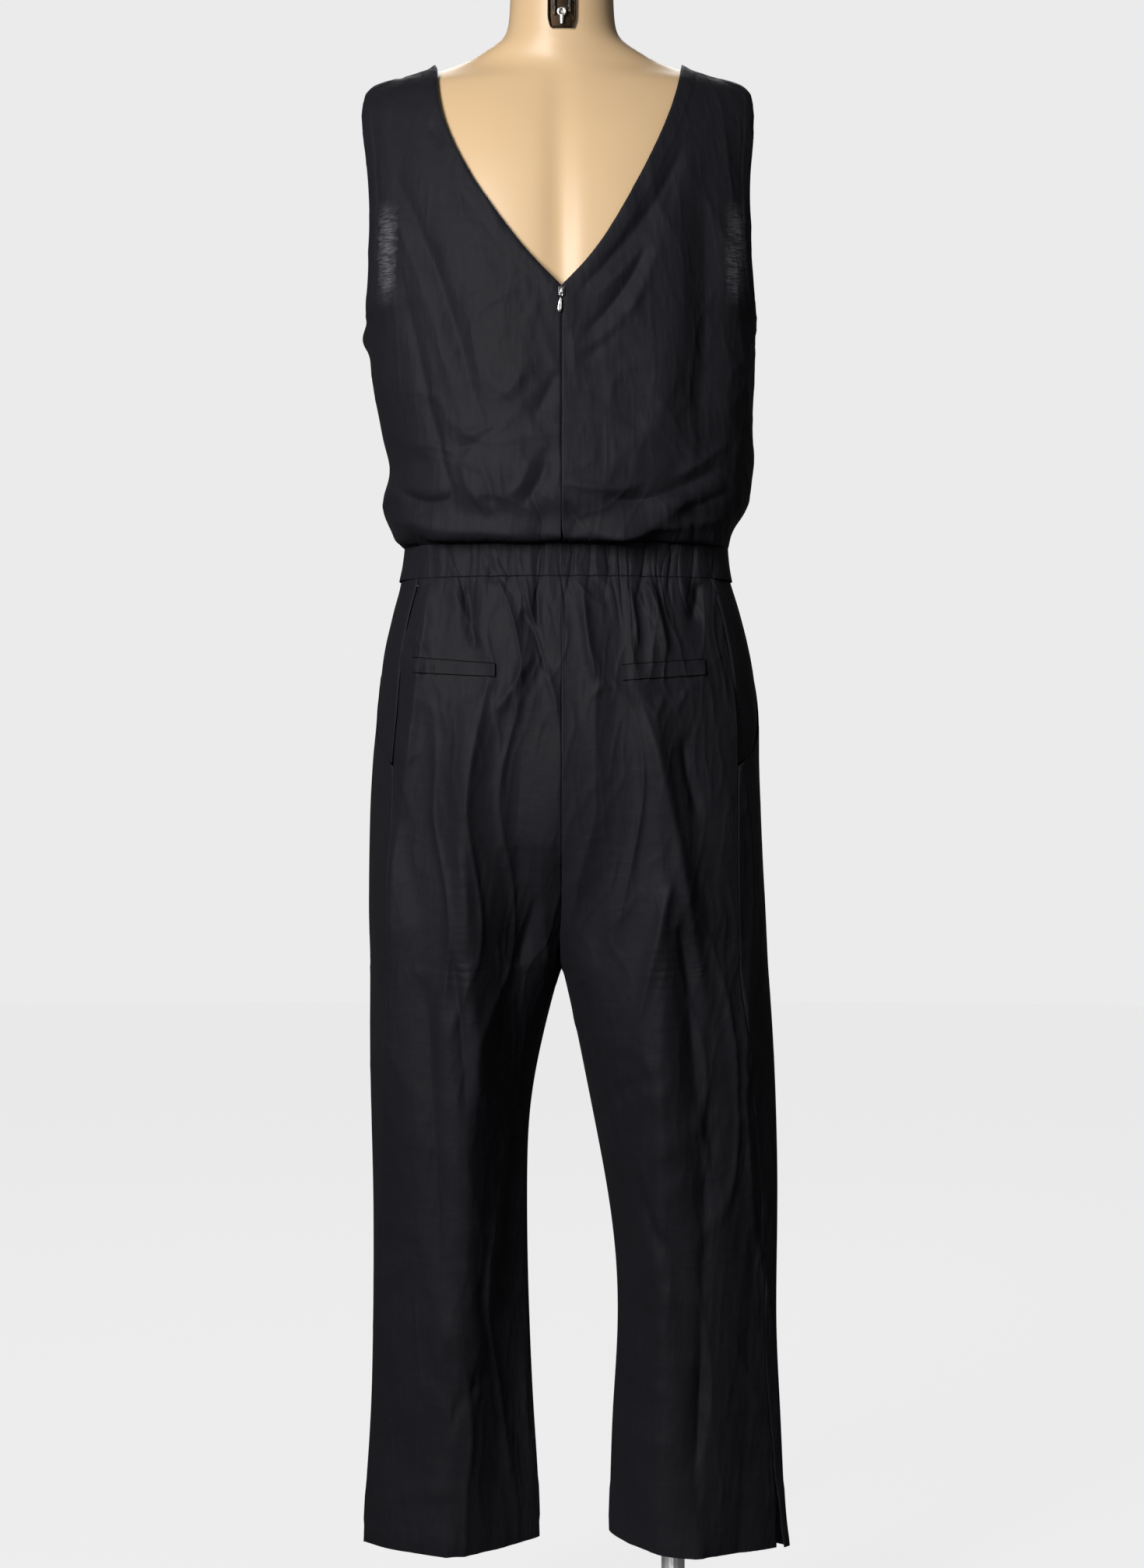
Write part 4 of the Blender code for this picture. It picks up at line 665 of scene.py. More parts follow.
# %% Creases of the front
BODICE_FRONT_CREASES = (
    Crease(-3.0, 8, -150, 1375, -112, 1270, -75, 1140),
    Crease(-2.5, 7, 146, 1350, 112, 1250, 92, 1150),
    Crease(-2.5, 7, 60, 1360, 22, 1300, -20, 1240),
    Crease(-2.0, 6, -70, 1290, -40, 1230, -22, 1170),
    Crease(2.5, 9, -20, 1360, 10, 1290, 30, 1180),
    Crease(-3.0, 5, -145, 1100, -118, 1074, -80, 1080),
    Crease(3.0, 5, -140, 1068, -110, 1062, -85, 1076),
    Crease(3.0, 6, 30, 1058, 75, 1066, 118, 1080),
    Crease(-3.0, 6, 20, 1078, 66, 1084, 125, 1104),
    Crease(-2.5, 5, -60, 1112, -35, 1092, -15, 1072),
    Crease(2.0, 5, -50, 1130, -66, 1104, -98, 1090),
)

TROUSER_FRONT_CREASES = (
    Crease(3.0, 8, 112, 1000, 116, 900, 122, 760),
    Crease(-3.0, 6, 70, 1002, 64, 965, 58, 925),
    Crease(-2.5, 6, -52, 1000, -56, 955, -66, 905),
    Crease(2.5, 6, -104, 1004, -112, 950, -120, 880),
    Crease(-3.0, 7, 24, 735, 55, 765, 100, 800),
    Crease(-3.0, 7, -24, 730, -58, 762, -105, 790),
    Crease(2.5, 7, 20, 690, 60, 700, 110, 735),
    Crease(3.0, 9, 94, 700, 98, 560, 96, 400),
    Crease(-2.5, 9, 130, 640, 122, 500, 118, 350),
    Crease(3.0, 9, -112, 720, -120, 590, -124, 430),
    Crease(-2.5, 8, -84, 640, -88, 540, -92, 430),
    Crease(-2.0, 5, 60, 300, 84, 284, 112, 246),
    Crease(-2.0, 6, -76, 330, -100, 312, -136, 270),
)

print("front:", len(BODICE_FRONT_CREASES) + len(TROUSER_FRONT_CREASES), "creases")

# %% The height of the creases
ARC_STEPS = 96
SHARPNESS = 1.4  # 2 would be a bell, 1 a fold with an edge
FLANK = 0.35  # a fold stands between two shallow hollows
FAR = 5  # a crease is worked out within so many reaches of its arc
FOLD_DEPTH, LEG_DEPTH = 1.35, 1.5


def crease_height(creases, x, z):
    """How far the creases lift each point, in millimetres."""
    height = np.zeros_like(x)
    t = np.linspace(0, 1, ARC_STEPS)
    for crease in creases:
        bend_x = 2 * crease.mid_x - (crease.top_x + crease.foot_x) / 2
        bend_z = 2 * crease.mid_z - (crease.top_z + crease.foot_z) / 2
        arc_x = (1 - t) ** 2 * crease.top_x + 2 * t * (1 - t) * bend_x + t**2 * crease.foot_x
        arc_z = (1 - t) ** 2 * crease.top_z + 2 * t * (1 - t) * bend_z + t**2 * crease.foot_z
        reach = FAR * crease.reach
        near = (x > arc_x.min() - reach) & (x < arc_x.max() + reach)
        near &= (z > arc_z.min() - reach) & (z < arc_z.max() + reach)
        if not near.any():
            continue
        away = np.hypot(x[near][:, None] - arc_x, z[near][:, None] - arc_z)
        nearest = away.argmin(-1)
        fade = 1 - (2 * t[nearest] - 1) ** 4
        off = away.min(-1) / crease.reach
        profile = np.exp(-(off**SHARPNESS)) - FLANK * np.exp(-((off / 2) ** 2))
        height[near] += FOLD_DEPTH * crease.lift * fade * profile
    return height


# %% [markdown]
# ## Crumples
#
# Between its creases, worn cloth is full of small crumples that mostly run along its hang. A
# plain noise looks like dough, because its hills are round. The fold of a noise about its
# zero has crests, so it is turned and stretched to run as the crumples run, and its place is
# shifted by a second noise so that the crests wander.

# %% Crumples
Wave = namedtuple("Wave", "slope across along lift foot top")  # lift is in millimetres
WANDER, WANDER_ACROSS, WANDER_ALONG, WANDER_PLACE = 0.9, 0.5, 1.5, 7
CREST_SHARP, CREST_MEAN, WAVE_FADE, RUN_BACK = 3, 0.3, 0.05, 0.5
WANDER_SEED, CREST_SEED = 90, 100
BODICE_WAVES = (
    Wave(20, 0.050, 0.160, 1.3, 1.03, 1.60),
    Wave(55, 0.030, 0.085, 1.1, 1.03, 1.24),
    Wave(-35, 0.034, 0.090, 0.9, 1.03, 1.30),
    Wave(15, 0.016, 0.060, 0.35, 1.00, 1.60),
)
TROUSER_WAVES = (
    Wave(4, 0.045, 0.240, 2.0, 0.00, 1.02),
    Wave(12, 0.024, 0.080, 1.0, 0.86, 1.05),
    Wave(60, 0.040, 0.120, 1.2, 0.08, 0.62),
    Wave(-8, 0.015, 0.070, 0.5, 0.00, 1.05),
)
PLEATS = (Wave(3, 0.0130, 0.090, -1.3, 0.950, 1.062),)  # what the elastic draws in below it
PLEAT_END, PLEAT_FADE = 135.0, 35.0  # there are none at the sides, millimetres from the middle


def crumple(places, wave):
    """Ridges that wander about one slope, in millimetres."""
    slope = math.radians(wave.slope)
    run = Vector((math.cos(slope), RUN_BACK, -math.sin(slope))) / wave.across
    rise = Vector((math.sin(slope), 0, math.cos(slope))) / wave.along
    heights = []
    for place in places:
        place = Vector(place)
        u, v = place.dot(run), place.dot(rise)
        wander = (u * WANDER_ACROSS + WANDER_PLACE, v * WANDER_ALONG)
        shift = noise.noise(Vector((*wander, wave.across * WANDER_SEED)))
        crest = noise.noise(Vector((u + WANDER * shift, v, wave.across * CREST_SEED)))
        heights.append((1 - 2 * abs(crest)) ** CREST_SHARP - CREST_MEAN)
    z = places[:, 2]
    inside = np.clip((z - wave.foot) / WAVE_FADE, 0, 1) * np.clip((wave.top - z) / WAVE_FADE, 0, 1)
    return wave.lift * np.array(heights) * inside


# %% [markdown]
# ## Falls, tugs and lifting the cloth
#
# Below the seat the back of each leg hangs in a plane that turns away to one side, and a few
# points of the bodice are drawn out by their seams. These could be modelled by hand. A few
# soft moves, each with a place and a reach, do it in code, after the creases and the
# crumples have lifted the cloth along its normals. The waistband's seams and the side seams
# stay where they are, so that the panels still meet.

# %% Creasing the cloth
SIDE_FADE, SEAM_FADE = 25.0, 8.0  # millimetres
Tug = namedtuple("Tug", "place reach move")
TUGS = (
    Tug((0.184, 0.0, 1.238), (0.030, 0.022, 0.012), (0.006, 0, 0)),  # the flap under the arm
    Tug((0.117, 0.0, 1.4945), (0.007, 0.020, 0.005), (0.0025, 0.001, 0.0020)),  # neck points
    Tug((-0.113, 0.0, 1.4945), (0.007, 0.020, 0.005), (-0.0005, 0.001, 0.0022)),
)
Fall = namedtuple("Fall", "from_x to_x depth")  # millimetres
FALLS = (Fall(88, 32, 17), Fall(-90, -140, 15))
FALL_TOP, FALL_FADE, FALL_BEHIND = 765, 90, 45
BAND_FOOT_Z, BAND_TOP_Z = (corner.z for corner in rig.box("waistband_front"))


def fall_away(places, x, y, z):
    """The backs of the legs fall away to one side, below the seat."""
    for fall in FALLS:
        share = np.clip((x - fall.from_x) / (fall.to_x - fall.from_x), 0, 1)
        share *= share * (3 - 2 * share) * (x * fall.from_x > 0)
        share *= np.clip((FALL_TOP - z) / FALL_FADE, 0, 1) * np.clip(y / FALL_BEHIND, 0, 1)
        places[:, 1] -= fall.depth * share / 1000


def crease(obj, back, front, waves):
    """Lifts the cloth's points along their normals, in millimetres worked out above."""
    mesh = obj.data
    count = len(mesh.vertices)
    places, normals = np.empty(count * 3, np.float32), np.empty(count * 3, np.float32)
    mesh.vertices.foreach_get("co", places)
    mesh.vertex_normals.foreach_get("vector", normals)
    places = places.reshape(-1, 3).astype(float)
    normals = normals.reshape(-1, 3)
    x, y, z = (places * 1000).T
    side = np.clip(np.abs(y) / SIDE_FADE, 0, 1)
    side = side * side * (3 - 2 * side)
    seams = np.clip(np.abs(z - BAND_FOOT_Z * 1000) / SEAM_FADE, 0, 1)
    seams *= np.clip(np.abs(z - BAND_TOP_Z * 1000) / SEAM_FADE, 0, 1)
    height = np.where(y > 0, crease_height(back, x, z), crease_height(front, x, z))
    for wave in waves:
        height += crumple(places, wave)
    height *= seams * np.where(z < BAND_FOOT_Z * 1000, LEG_DEPTH, 1)
    for wave in PLEATS:
        height += crumple(places, wave) * np.clip((PLEAT_END - np.abs(x)) / PLEAT_FADE, 0, 1)
    gathers = [crease_height(each, x, z) for each in (GATHERS_BACK, GATHERS_FRONT)]
    height += np.where(y > 0, *gathers)
    height *= side
    places += normals * height[:, None] / 1000
    fall_away(places, x, y, z)
    for tug in TUGS:
        away = np.linalg.norm((places - tug.place) / tug.reach, axis=1)
        places += np.exp(-(away**2))[:, None] * tug.move
    mesh.vertices.foreach_set("co", places.astype(np.float32).ravel())
    mesh.update()


print(f"waistband: from {BAND_FOOT_Z:.4f} to {BAND_TOP_Z:.4f} m")

# %% [markdown]
# ## The roll over the waistband
#
# The bodice is cut longer than the back it covers, so it drops over the elastic in a soft
# roll. The roll could be a separate strip, but it would show a seam. The cloth that is
# already there is moved out and down instead, by an uneven amount, and its seam stays put.

# %% Roll
ROLL_HEIGHT, ROLL_REACH = 0.010, 0.008
ROLL_OUT, ROLL_DROP = 0.0042, 0.0080
ROLL_EVEN, ROLL_UNEVEN, ROLL_LUMPS = 0.85, 0.9, 24
ROLL_FOOT = 0.004  # below this the cloth stays at its seam
ROLL_SIDE, ROLL_FULL = 0.015, 0.060  # how far behind the side it starts and is full


def roll_over(obj):
    """The fullness of the bodice drops over the top of the waistband."""
    low = [
        vertex for vertex in obj.data.vertices if 0 < vertex.co.z - BAND_TOP_Z < 4 * ROLL_REACH
    ]
    outs = [Vector((vertex.normal.x, vertex.normal.y, 0)).normalized() for vertex in low]
    for vertex, out in zip(low, outs):
        above = vertex.co.z - BAND_TOP_Z
        fullness = ROLL_EVEN + ROLL_UNEVEN * noise.noise(vertex.co * ROLL_LUMPS)
        share = fullness * math.exp(-(((above - ROLL_HEIGHT) / ROLL_REACH) ** 2))
        share *= min(above / ROLL_FOOT, 1)
        behind = (abs(vertex.co.y) - ROLL_SIDE) / (ROLL_FULL - ROLL_SIDE)
        share *= min(max(behind, 0), 1)
        vertex.co += out * ROLL_OUT * share
        vertex.co.z -= ROLL_DROP * share


# %% [markdown]
# ## Turned edges
#
# A hem or a faced neckline is two layers with a fold between them. A thicker wall would give
# the weight of the edge, but not its fold. So the faces near the free edge are copied, moved
# to the inside, and joined to the edge by a narrow strip, and the edge shows a real turn from
# outside and from below.

# %% Turning in the free edges
TURN_GAP = 0.0011
DOUBLED = 0.0006  # how far a turned edge stands proud of the single cloth
STEP = 0.0020  # over which it does so
EDGE_ROLL = 1.6  # how far the fold itself rolls in, as a share of that


def rim_of(bm, is_free):
    """The free edges, and a tree that finds how far a place is from them."""
    rim = [edge for edge in bm.edges if edge.is_boundary and is_free(edge)]
    tree = kdtree.KDTree(2 * len(rim))
    for number, edge in enumerate(rim):
        for vertex in edge.verts:
            tree.insert(vertex.co, number)
    tree.balance()
    return rim, tree


def turn_in(obj, is_free, depth):
    """Gives the free edges a second layer, and returns how many edges were turned."""
    bm = bmesh.new()
    bm.from_mesh(obj.data)
    bm.normal_update()
    rim, tree = rim_of(bm, is_free)
    away = {vertex: tree.find(vertex.co)[2] for vertex in bm.verts}
    near = {vertex for vertex in bm.verts if away[vertex] < depth}
    for vertex in near:
        proud = min((depth - away[vertex]) / STEP, 1) - EDGE_ROLL * max(1 - away[vertex] / STEP, 0)
        vertex.co += vertex.normal * DOUBLED * proud
    faces = [face for face in bm.faces if all(v in near for v in face.verts)]
    normals = {vertex: vertex.normal.copy() for face in faces for vertex in face.verts}
    copies = bmesh.ops.duplicate(bm, geom=faces)["vert_map"]
    for vertex, normal in normals.items():
        copies[vertex].co -= normal * TURN_GAP
    inner = {face for vertex in normals for face in copies[vertex].link_faces}
    bmesh.ops.reverse_faces(bm, faces=list(inner))
    for edge in rim:
        one, other = edge.verts
        if one in normals and other in normals:
            bm.faces.new((copies[one], copies[other], other, one))
    bmesh.ops.recalc_face_normals(bm, faces=bm.faces)
    bm.to_mesh(obj.data)
    bm.free()
    return len(rim)


# %% [markdown]
# ## Welt mouths
#
# A welt pocket is a slit with a folded strip standing in it, and a little of its dark inside
# shows along the top. A narrow strip of lining is drawn up behind the welt, so it stays in
# place from every side, and it is coloured far darker than the cloth: painted shade of the
# slot.

# %% Welt mouth and the cloth's thickness
MOUTH_TALL, MOUTH_SUNK = 0.0012, 0.0002
MOUTH_LEVEL = 0.5  # an edge that rises less than this is one along the top
CLOTH_THICK = 0.00045


def open_mouth(obj):
    """A narrow strip of lining, darkened as painted shade of the slot, shows above a welt."""
    obj.data.materials.append(LINING_PAINTED_SHADE)
    bm = bmesh.new()
    bm.from_mesh(obj.data)
    bm.normal_update()
    top = []
    for edge in bm.edges:
        if edge.is_boundary:
            along = edge.verts[0].co - edge.verts[1].co
            middle = (edge.verts[0].co + edge.verts[1].co) / 2
            above = middle - edge.link_faces[0].calc_center_median()
            if above.z > 0 and abs(along.z) < MOUTH_LEVEL * along.length:
                top.append(edge)
    ends = [vertex for edge in top for vertex in edge.verts]
    normals = {vertex.co.to_tuple(6): vertex.normal.copy() for vertex in ends}
    drawn = bmesh.ops.extrude_edge_only(bm, edges=top)["geom"]
    for part in drawn:
        if isinstance(part, bmesh.types.BMVert):
            part.co -= normals[part.co.to_tuple(6)] * MOUTH_SUNK
            part.co.z += MOUTH_TALL
        if isinstance(part, bmesh.types.BMFace):
            part.material_index = 1
    bmesh.ops.recalc_face_normals(bm, faces=bm.faces)
    if sum(face.normal.y for face in bm.faces) < 0:
        bmesh.ops.reverse_faces(bm, faces=bm.faces)
    bm.to_mesh(obj.data)
    bm.free()


def thicken(obj):
    wall = obj.modifiers.new("cloth", "SOLIDIFY")
    wall.thickness = CLOTH_THICK
    wall.offset = -1


# %% [markdown]
# ## The panels
#
# A jumpsuit is a bodice and a pair of trousers joined at a waistband: fourteen pieces of cloth
# with the pockets. Each could have its own code, but they are all made the same way, so each
# is one row here: where its outer face looks, how fine it becomes, its creases, which edges
# are free, and how the cloth is held.

# %% Which edges are free
ARMHOLE_FOOT_Z, SHOULDER_Z = 1.2466, 1.43
SEAM_SLOPE = 0.3  # above the shoulder's height, a flatter edge than this is the shoulder seam
HEM_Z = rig.box("trouser_back_left")[0].z
HEM_ROOM, ARMHOLE_ROOM = 0.020, 0.004


def at_hem(edge):
    one, other = edge.verts
    return max(one.co.z, other.co.z) < HEM_Z + HEM_ROOM


def at_neck_or_armhole(edge):
    one, other = edge.verts
    steep = abs(one.co.z - other.co.z) > SEAM_SLOPE * (one.co - other.co).length
    above = min(one.co.z, other.co.z) > ARMHOLE_FOOT_Z - ARMHOLE_ROOM
    return above and (steep or one.co.z < SHOULDER_Z)


print(f"hems: at {HEM_Z:.4f} m, armholes: from {ARMHOLE_FOOT_Z:.4f} m")

# %% The fourteen panels
# Where back and front are None the cloth stays smooth, and where free is None no edge turns
Panel = namedtuple("Panel", "node toward levels back front free depth held rests_on")
HEM_DEEP, FACING_DEEP = 0.038, 0.015


def panels():
    for side, sign in (("left", 1), ("right", -1)):
        yield Panel(f"trouser_back_{side}", (0, 1, 0), 3, TROUSER_BACK_CREASES, (), at_hem,
                    HEM_DEEP, "hung", [f"waistband_back_{side}"])
        yield Panel(f"trouser_front_{side}", (0, -1, 0), 3, TROUSER_BACK_CREASES,
                    TROUSER_FRONT_CREASES, at_hem, HEM_DEEP, "hung", ["waistband_front"])
        yield Panel(f"pocket_facing_{side}", (sign, 0, 0), 2, None, None, None, 0, "hung",
                    [f"trouser_back_{side}"])
        yield Panel(f"bodice_back_{side}", (0, 1, 0), 3, BODICE_BACK_CREASES, BODICE_FRONT_CREASES,
                    at_neck_or_armhole, FACING_DEEP, "hung", ["dress_form"])
        yield Panel(f"waistband_back_{side}", (0, 1, 0), 4, (), (), None, 0, "gathered",
                    [f"bodice_back_{side}"])
        yield Panel(f"welt_{side}", (0, 1, 0), 4, TROUSER_BACK_CREASES, (), None, 0, "laid",
                    [f"trouser_back_{side}"])
    yield Panel("bodice_front", (0, -1, 0), 3, (), BODICE_FRONT_CREASES, at_neck_or_armhole,
                FACING_DEEP, "hung", ["dress_form"])
    yield Panel("waistband_front", (0, -1, 0), 4, (), (), None, 0, "gathered",
                ["bodice_front"])


# %% Making the panels
def make_panel(panel):
    piece = made_object("cloth_" + panel.node, outer_face(panel.node, panel.toward), CLOTH)
    cut = flatten(piece)
    keep_corners(piece)
    refine(piece, panel.levels)
    if panel.back is not None:
        waves = BODICE_WAVES if "bodice" in panel.node else TROUSER_WAVES
        crease(piece, panel.back, panel.front, waves)
        if "bodice" in panel.node:
            roll_over(piece)
        if "welt" in panel.node:
            open_mouth(piece)
    turned = turn_in(piece, panel.free, panel.depth) if panel.free else 0
    thicken(piece)
    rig.ride(piece, BODY)
    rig.replaces(piece, panel.node)
    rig.slot(piece, "cloth")
    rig.sheet(piece, flat=(cut.width, cut.length), held=panel.held,
             rests_on=panel.rests_on, area=min(cut.area, cut.width * cut.length))
    print(f"{piece.name}: {len(piece.data.polygons)} faces, {turned} edges turned,"
          f" cut {cut.width:.3f} x {cut.length:.3f} m, {cut.area:.4f} m2")
    return cut.area


print(f"whole cut: {sum(make_panel(panel) for panel in panels()):.3f} m2")

# %% [markdown]
# ## The dress form
#
# The form is a moulded shell with a soft gloss and a groove down its spine. It could be built
# again from sections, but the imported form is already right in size: it is smooth once its
# points are merged and subdivided, it stays just inside the solid, and its rims are kept
# sharp. Only the groove is added, by pressing the surface in along an arc.

# %% The form's finish
FORM_DARK, FORM_LIGHT = (0.335, 0.229, 0.127), (0.388, 0.272, 0.155)
FORM_CLOUD, FORM_GRAIN = 5.0, 900.0
FORM_ROUGH, CLOUD_ROUGH, GRAIN_ROUGH = 0.38, 0.10, 0.04
FORM_COAT, CLOUD_COAT = 0.04, 0.08
FORM_BUMP = (0.10, 0.0001)  # strength and distance


def form_paint():
    paint = Paint("tan moulded shell", Coat_Roughness=0.30, Specular_IOR_Level=0.22)
    place = paint.object_place()
    cloud = paint.noise(place, FORM_CLOUD, 3.0)
    fine = paint.noise(place, FORM_GRAIN, 2.0)
    paint.feed(
        Base_Color=paint.blend(cloud, FORM_DARK, FORM_LIGHT),
        Roughness=(FORM_ROUGH + cloud * CLOUD_ROUGH + fine * GRAIN_ROUGH).clamp(),
        Coat_Weight=(FORM_COAT + cloud * CLOUD_COAT).clamp(),
        Normal=paint.bump(fine, *FORM_BUMP),
    )
    return paint.material


# %% The form
SPINE_X, SPINE_Z = 0.002, 1.340  # the middle of the groove
SPINE_HALF, SPINE_WIDE, SPINE_DEEP = 0.160, 0.013, 0.0050


def make_form():
    bm = bmesh.new()
    bm.from_mesh(frame["nodes"]["dress_form"].data)
    bmesh.ops.remove_doubles(bm, verts=bm.verts, dist=MERGE)
    bmesh.ops.join_triangles(
        bm, faces=bm.faces, angle_face_threshold=JOIN_TURN, angle_shape_threshold=JOIN_TURN
    )
    crease_layer = bm.edges.layers.float.new("crease_edge")
    for edge in bm.edges:
        edge[crease_layer] = float(edge.calc_face_angle(0) > RIM_TURN)
    form = made_object("form_shell", bm, form_paint())
    refine(form, 3)
    for vertex in form.data.vertices:
        x, y, z = vertex.co
        if y > 0:
            along = max(1 - ((z - SPINE_Z) / SPINE_HALF) ** 2, 0)
            vertex.co.y -= SPINE_DEEP * along * math.exp(-(((x - SPINE_X) / SPINE_WIDE) ** 2))
    form.data.shade_smooth()
    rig.ride(form, BODY)
    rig.replaces(form, "dress_form")
    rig.slot(form, "form_shell")
    print("form:", len(form.data.polygons), "faces")


make_form()

# %% [markdown]
# ## Metal
#
# The stand is brushed and satin steel, the fittings are dark bronze and worn nickel, and the
# zip's pull is bright silver. Each could be one flat grey, but real metal shows its finish in
# its highlights. So one recipe makes them all: a grain stretched along the way the metal was
# brushed, and a coarser noise where hands have worn it.

# %% Metals
GRAIN_SHINE, WEAR_SHINE, WEAR_SCALE = 0.15, 0.1, 60.0
GRAIN_BUMP = (0.08, 0.0001)  # strength and distance
ROUGH_MIDDLE = 0.12  # what the grain and the wear add at their middle


def metal_paint(name, dark, light, roughness, brushed):
    """A metal between two colours, and how often its grain repeats along x, y and z."""
    paint = Paint(name, Metallic=1.0)
    place = paint.object_place()
    grain = paint.noise(paint.stretch(place, brushed), 1.0, 3.0)
    wear = paint.noise(place, WEAR_SCALE, 3.0)
    rough = grain * GRAIN_SHINE + wear * WEAR_SHINE + (roughness - ROUGH_MIDDLE)
    paint.feed(
        Base_Color=paint.blend((grain * 0.5 + wear * 0.5).clamp(), dark, light),
        Roughness=rough.clamp(),
        Normal=paint.bump(grain, *GRAIN_BUMP),
    )
    return paint.material


STEEL = metal_paint(
    "brushed steel", (0.50, 0.50, 0.50), (0.64, 0.64, 0.64), roughness=0.34, brushed=(900, 900, 12)
)
BRONZE = metal_paint(
    "dark bronze", (0.050, 0.034, 0.022), (0.13, 0.092, 0.06), roughness=0.42,
    brushed=(500, 500, 500),
)
SILVER = metal_paint(
    "silver zip metal", (0.50, 0.50, 0.48), (0.72, 0.72, 0.70), roughness=0.16,
    brushed=(1500, 1500, 300),
)
POLE = metal_paint(
    "pale satin steel", (0.72, 0.72, 0.72), (0.82, 0.82, 0.82), roughness=0.50,
    brushed=(900, 900, 12),
)
RECESS = metal_paint(
    "blackened bronze", (0.010, 0.006, 0.004), (0.030, 0.020, 0.012), roughness=0.5,
    brushed=(300, 300, 300),
)
NICKEL = metal_paint(
    "worn nickel", (0.42, 0.38, 0.34), (0.70, 0.67, 0.62), roughness=0.26,
    brushed=(400, 400, 400),
)
print("metals:", ", ".join(each.name for each in (STEEL, BRONZE, SILVER, POLE, RECESS, NICKEL)))

# %% [markdown]
# ## The slider's enamel and the zip tape
#
# The slider is black enamel, and the pull has worn the top of its bridge down to the metal.
# Two pieces could show that, but one material can do it: it is metal in a narrow ridge over
# the middle, and enamel elsewhere. The tape is the cloth's weave without a cut of its own.

# %% Enamel, tape and the pieces that keep their solids
ENAMEL_BLACK, BARE_METAL = (0.010, 0.010, 0.012), (0.62, 0.62, 0.60)
BRIDGE_TOP_Y, BRIDGE_EDGE, BRIDGE_NARROW = 0.1226, 2500, 900
ENAMEL_WEAR, WORN_THROUGH, WORN_LESS = 1500.0, 0.3, 0.2
ENAMEL_ROUGH, BARE_SMOOTH, WEAR_ROUGH = 0.38, 0.12, 0.06


def enamel_paint():
    """Black enamel, worn down to the metal on top of the slider's bridge."""
    paint = Paint("black enamel", Coat_Weight=0.3, Coat_Roughness=0.2)
    place = paint.object_place()
    wear = paint.noise(place, ENAMEL_WEAR, 2.0)
    ridge = (1 - paint.part(place, "X").math("ABSOLUTE") * BRIDGE_NARROW).clamp()
    high = ((paint.part(place, "Y") - BRIDGE_TOP_Y) * BRIDGE_EDGE).clamp()
    bare = (ridge * high + wear * WORN_THROUGH - WORN_LESS).clamp()
    paint.feed(
        Base_Color=paint.blend(bare, ENAMEL_BLACK, BARE_METAL),
        Metallic=bare,
        Roughness=(ENAMEL_ROUGH - bare * BARE_SMOOTH + wear * WEAR_ROUGH).clamp(),
    )
    return paint.material


TAPE = cloth_paint("black zip tape", lightness=0.7, cut_map=None)
ENAMEL = enamel_paint()

for node, material in (
    ("stand_base", STEEL),
    ("stand_pole", POLE),
    ("stand_collar", BRONZE),
    ("stand_flange", BRONZE),
    ("neck_cap", BRONZE),
    ("zip_tape", TAPE),
    ("zip_slider", ENAMEL),
):
    mesh = frame["nodes"][node].data
    mesh.materials.clear()
    mesh.materials.append(material)
    print(node, "is", material.name)

# %% [markdown]
# ## The nape fitting
#
# A socket screw holds a wire loop in a sunk plate at the back of the neck, where a form is
# hung or locked to its stand. They could be cut from blocks, but each has a simpler start. The
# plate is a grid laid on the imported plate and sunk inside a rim. The screw is a half section
# spun about its axis, and the loop is a circle spun round its arch and drawn down into legs.

# %% The sunk plate
PLATE_HALF, PLATE_FOOT_Z, PLATE_TOP_Z = 0.0135, 1.5215, 1.5750
PLATE_NARROWS, PLATE_TAPER_Z = 0.0028, 1.5340  # the foot narrows below this height
PLATE_RIM, PLATE_SINK, PLATE_THICK = 0.0012, 0.0017, 0.0006
PLATE_INSIDE, RAY_INSIDE = 0.0003, 0.0002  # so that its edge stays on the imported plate
PLATE_ACROSS, PLATE_UP = 18, 30
WELL_BEHIND = 0.3  # where the rays toward the plate start

bm = bmesh.new()
bm.from_mesh(frame["nodes"]["nape_plate"].data)
PLATE_TREE = BVHTree.FromBMesh(bm)
bm.free()


def plate_y(x, z):
    """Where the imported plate's outer face is."""
    return PLATE_TREE.ray_cast(Vector((x, WELL_BEHIND, z)), Vector((0, -1, 0)))[0].y


def finish_piece(name, bm, material, node, body, slot):
    piece = made_object(name, bm, material)
    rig.ride(piece, body)
    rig.replaces(piece, node)
    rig.slot(piece, slot)
    print(f"{name}: {len(piece.data.polygons)} faces")
    return piece


def make_plate():
    bm = bmesh.new()
    bmesh.ops.create_grid(bm, x_segments=PLATE_ACROSS, y_segments=PLATE_UP, size=0.5)
    for vertex in bm.verts:
        across, up = vertex.co.x * 2, vertex.co.y + 0.5
        z = PLATE_FOOT_Z + up * (PLATE_TOP_Z - PLATE_FOOT_Z)
        low = max(PLATE_TAPER_Z - z, 0) / (PLATE_TAPER_Z - PLATE_FOOT_Z)
        x = across * (PLATE_HALF - PLATE_INSIDE - PLATE_NARROWS * low * low)
        vertex.co = (x, plate_y(x, min(z + RAY_INSIDE, PLATE_TOP_Z - RAY_INSIDE)), z)
    bmesh.ops.recalc_face_normals(bm, faces=bm.faces)
    if sum(face.normal.y for face in bm.faces) < 0:
        bmesh.ops.reverse_faces(bm, faces=bm.faces)
    bmesh.ops.inset_region(bm, faces=bm.faces, thickness=PLATE_RIM, use_boundary=True)
    middle = [face for face in bm.faces if not any(edge.is_boundary for edge in face.edges)]
    bmesh.ops.inset_region(bm, faces=middle, thickness=PLATE_RIM / 3, depth=-PLATE_SINK)
    plate = finish_piece("nape_sunk_plate", bm, RECESS, "nape_plate", BODY, "bronze")
    wall = plate.modifiers.new("plate", "SOLIDIFY")
    wall.thickness, wall.offset = PLATE_THICK, -1


make_plate()

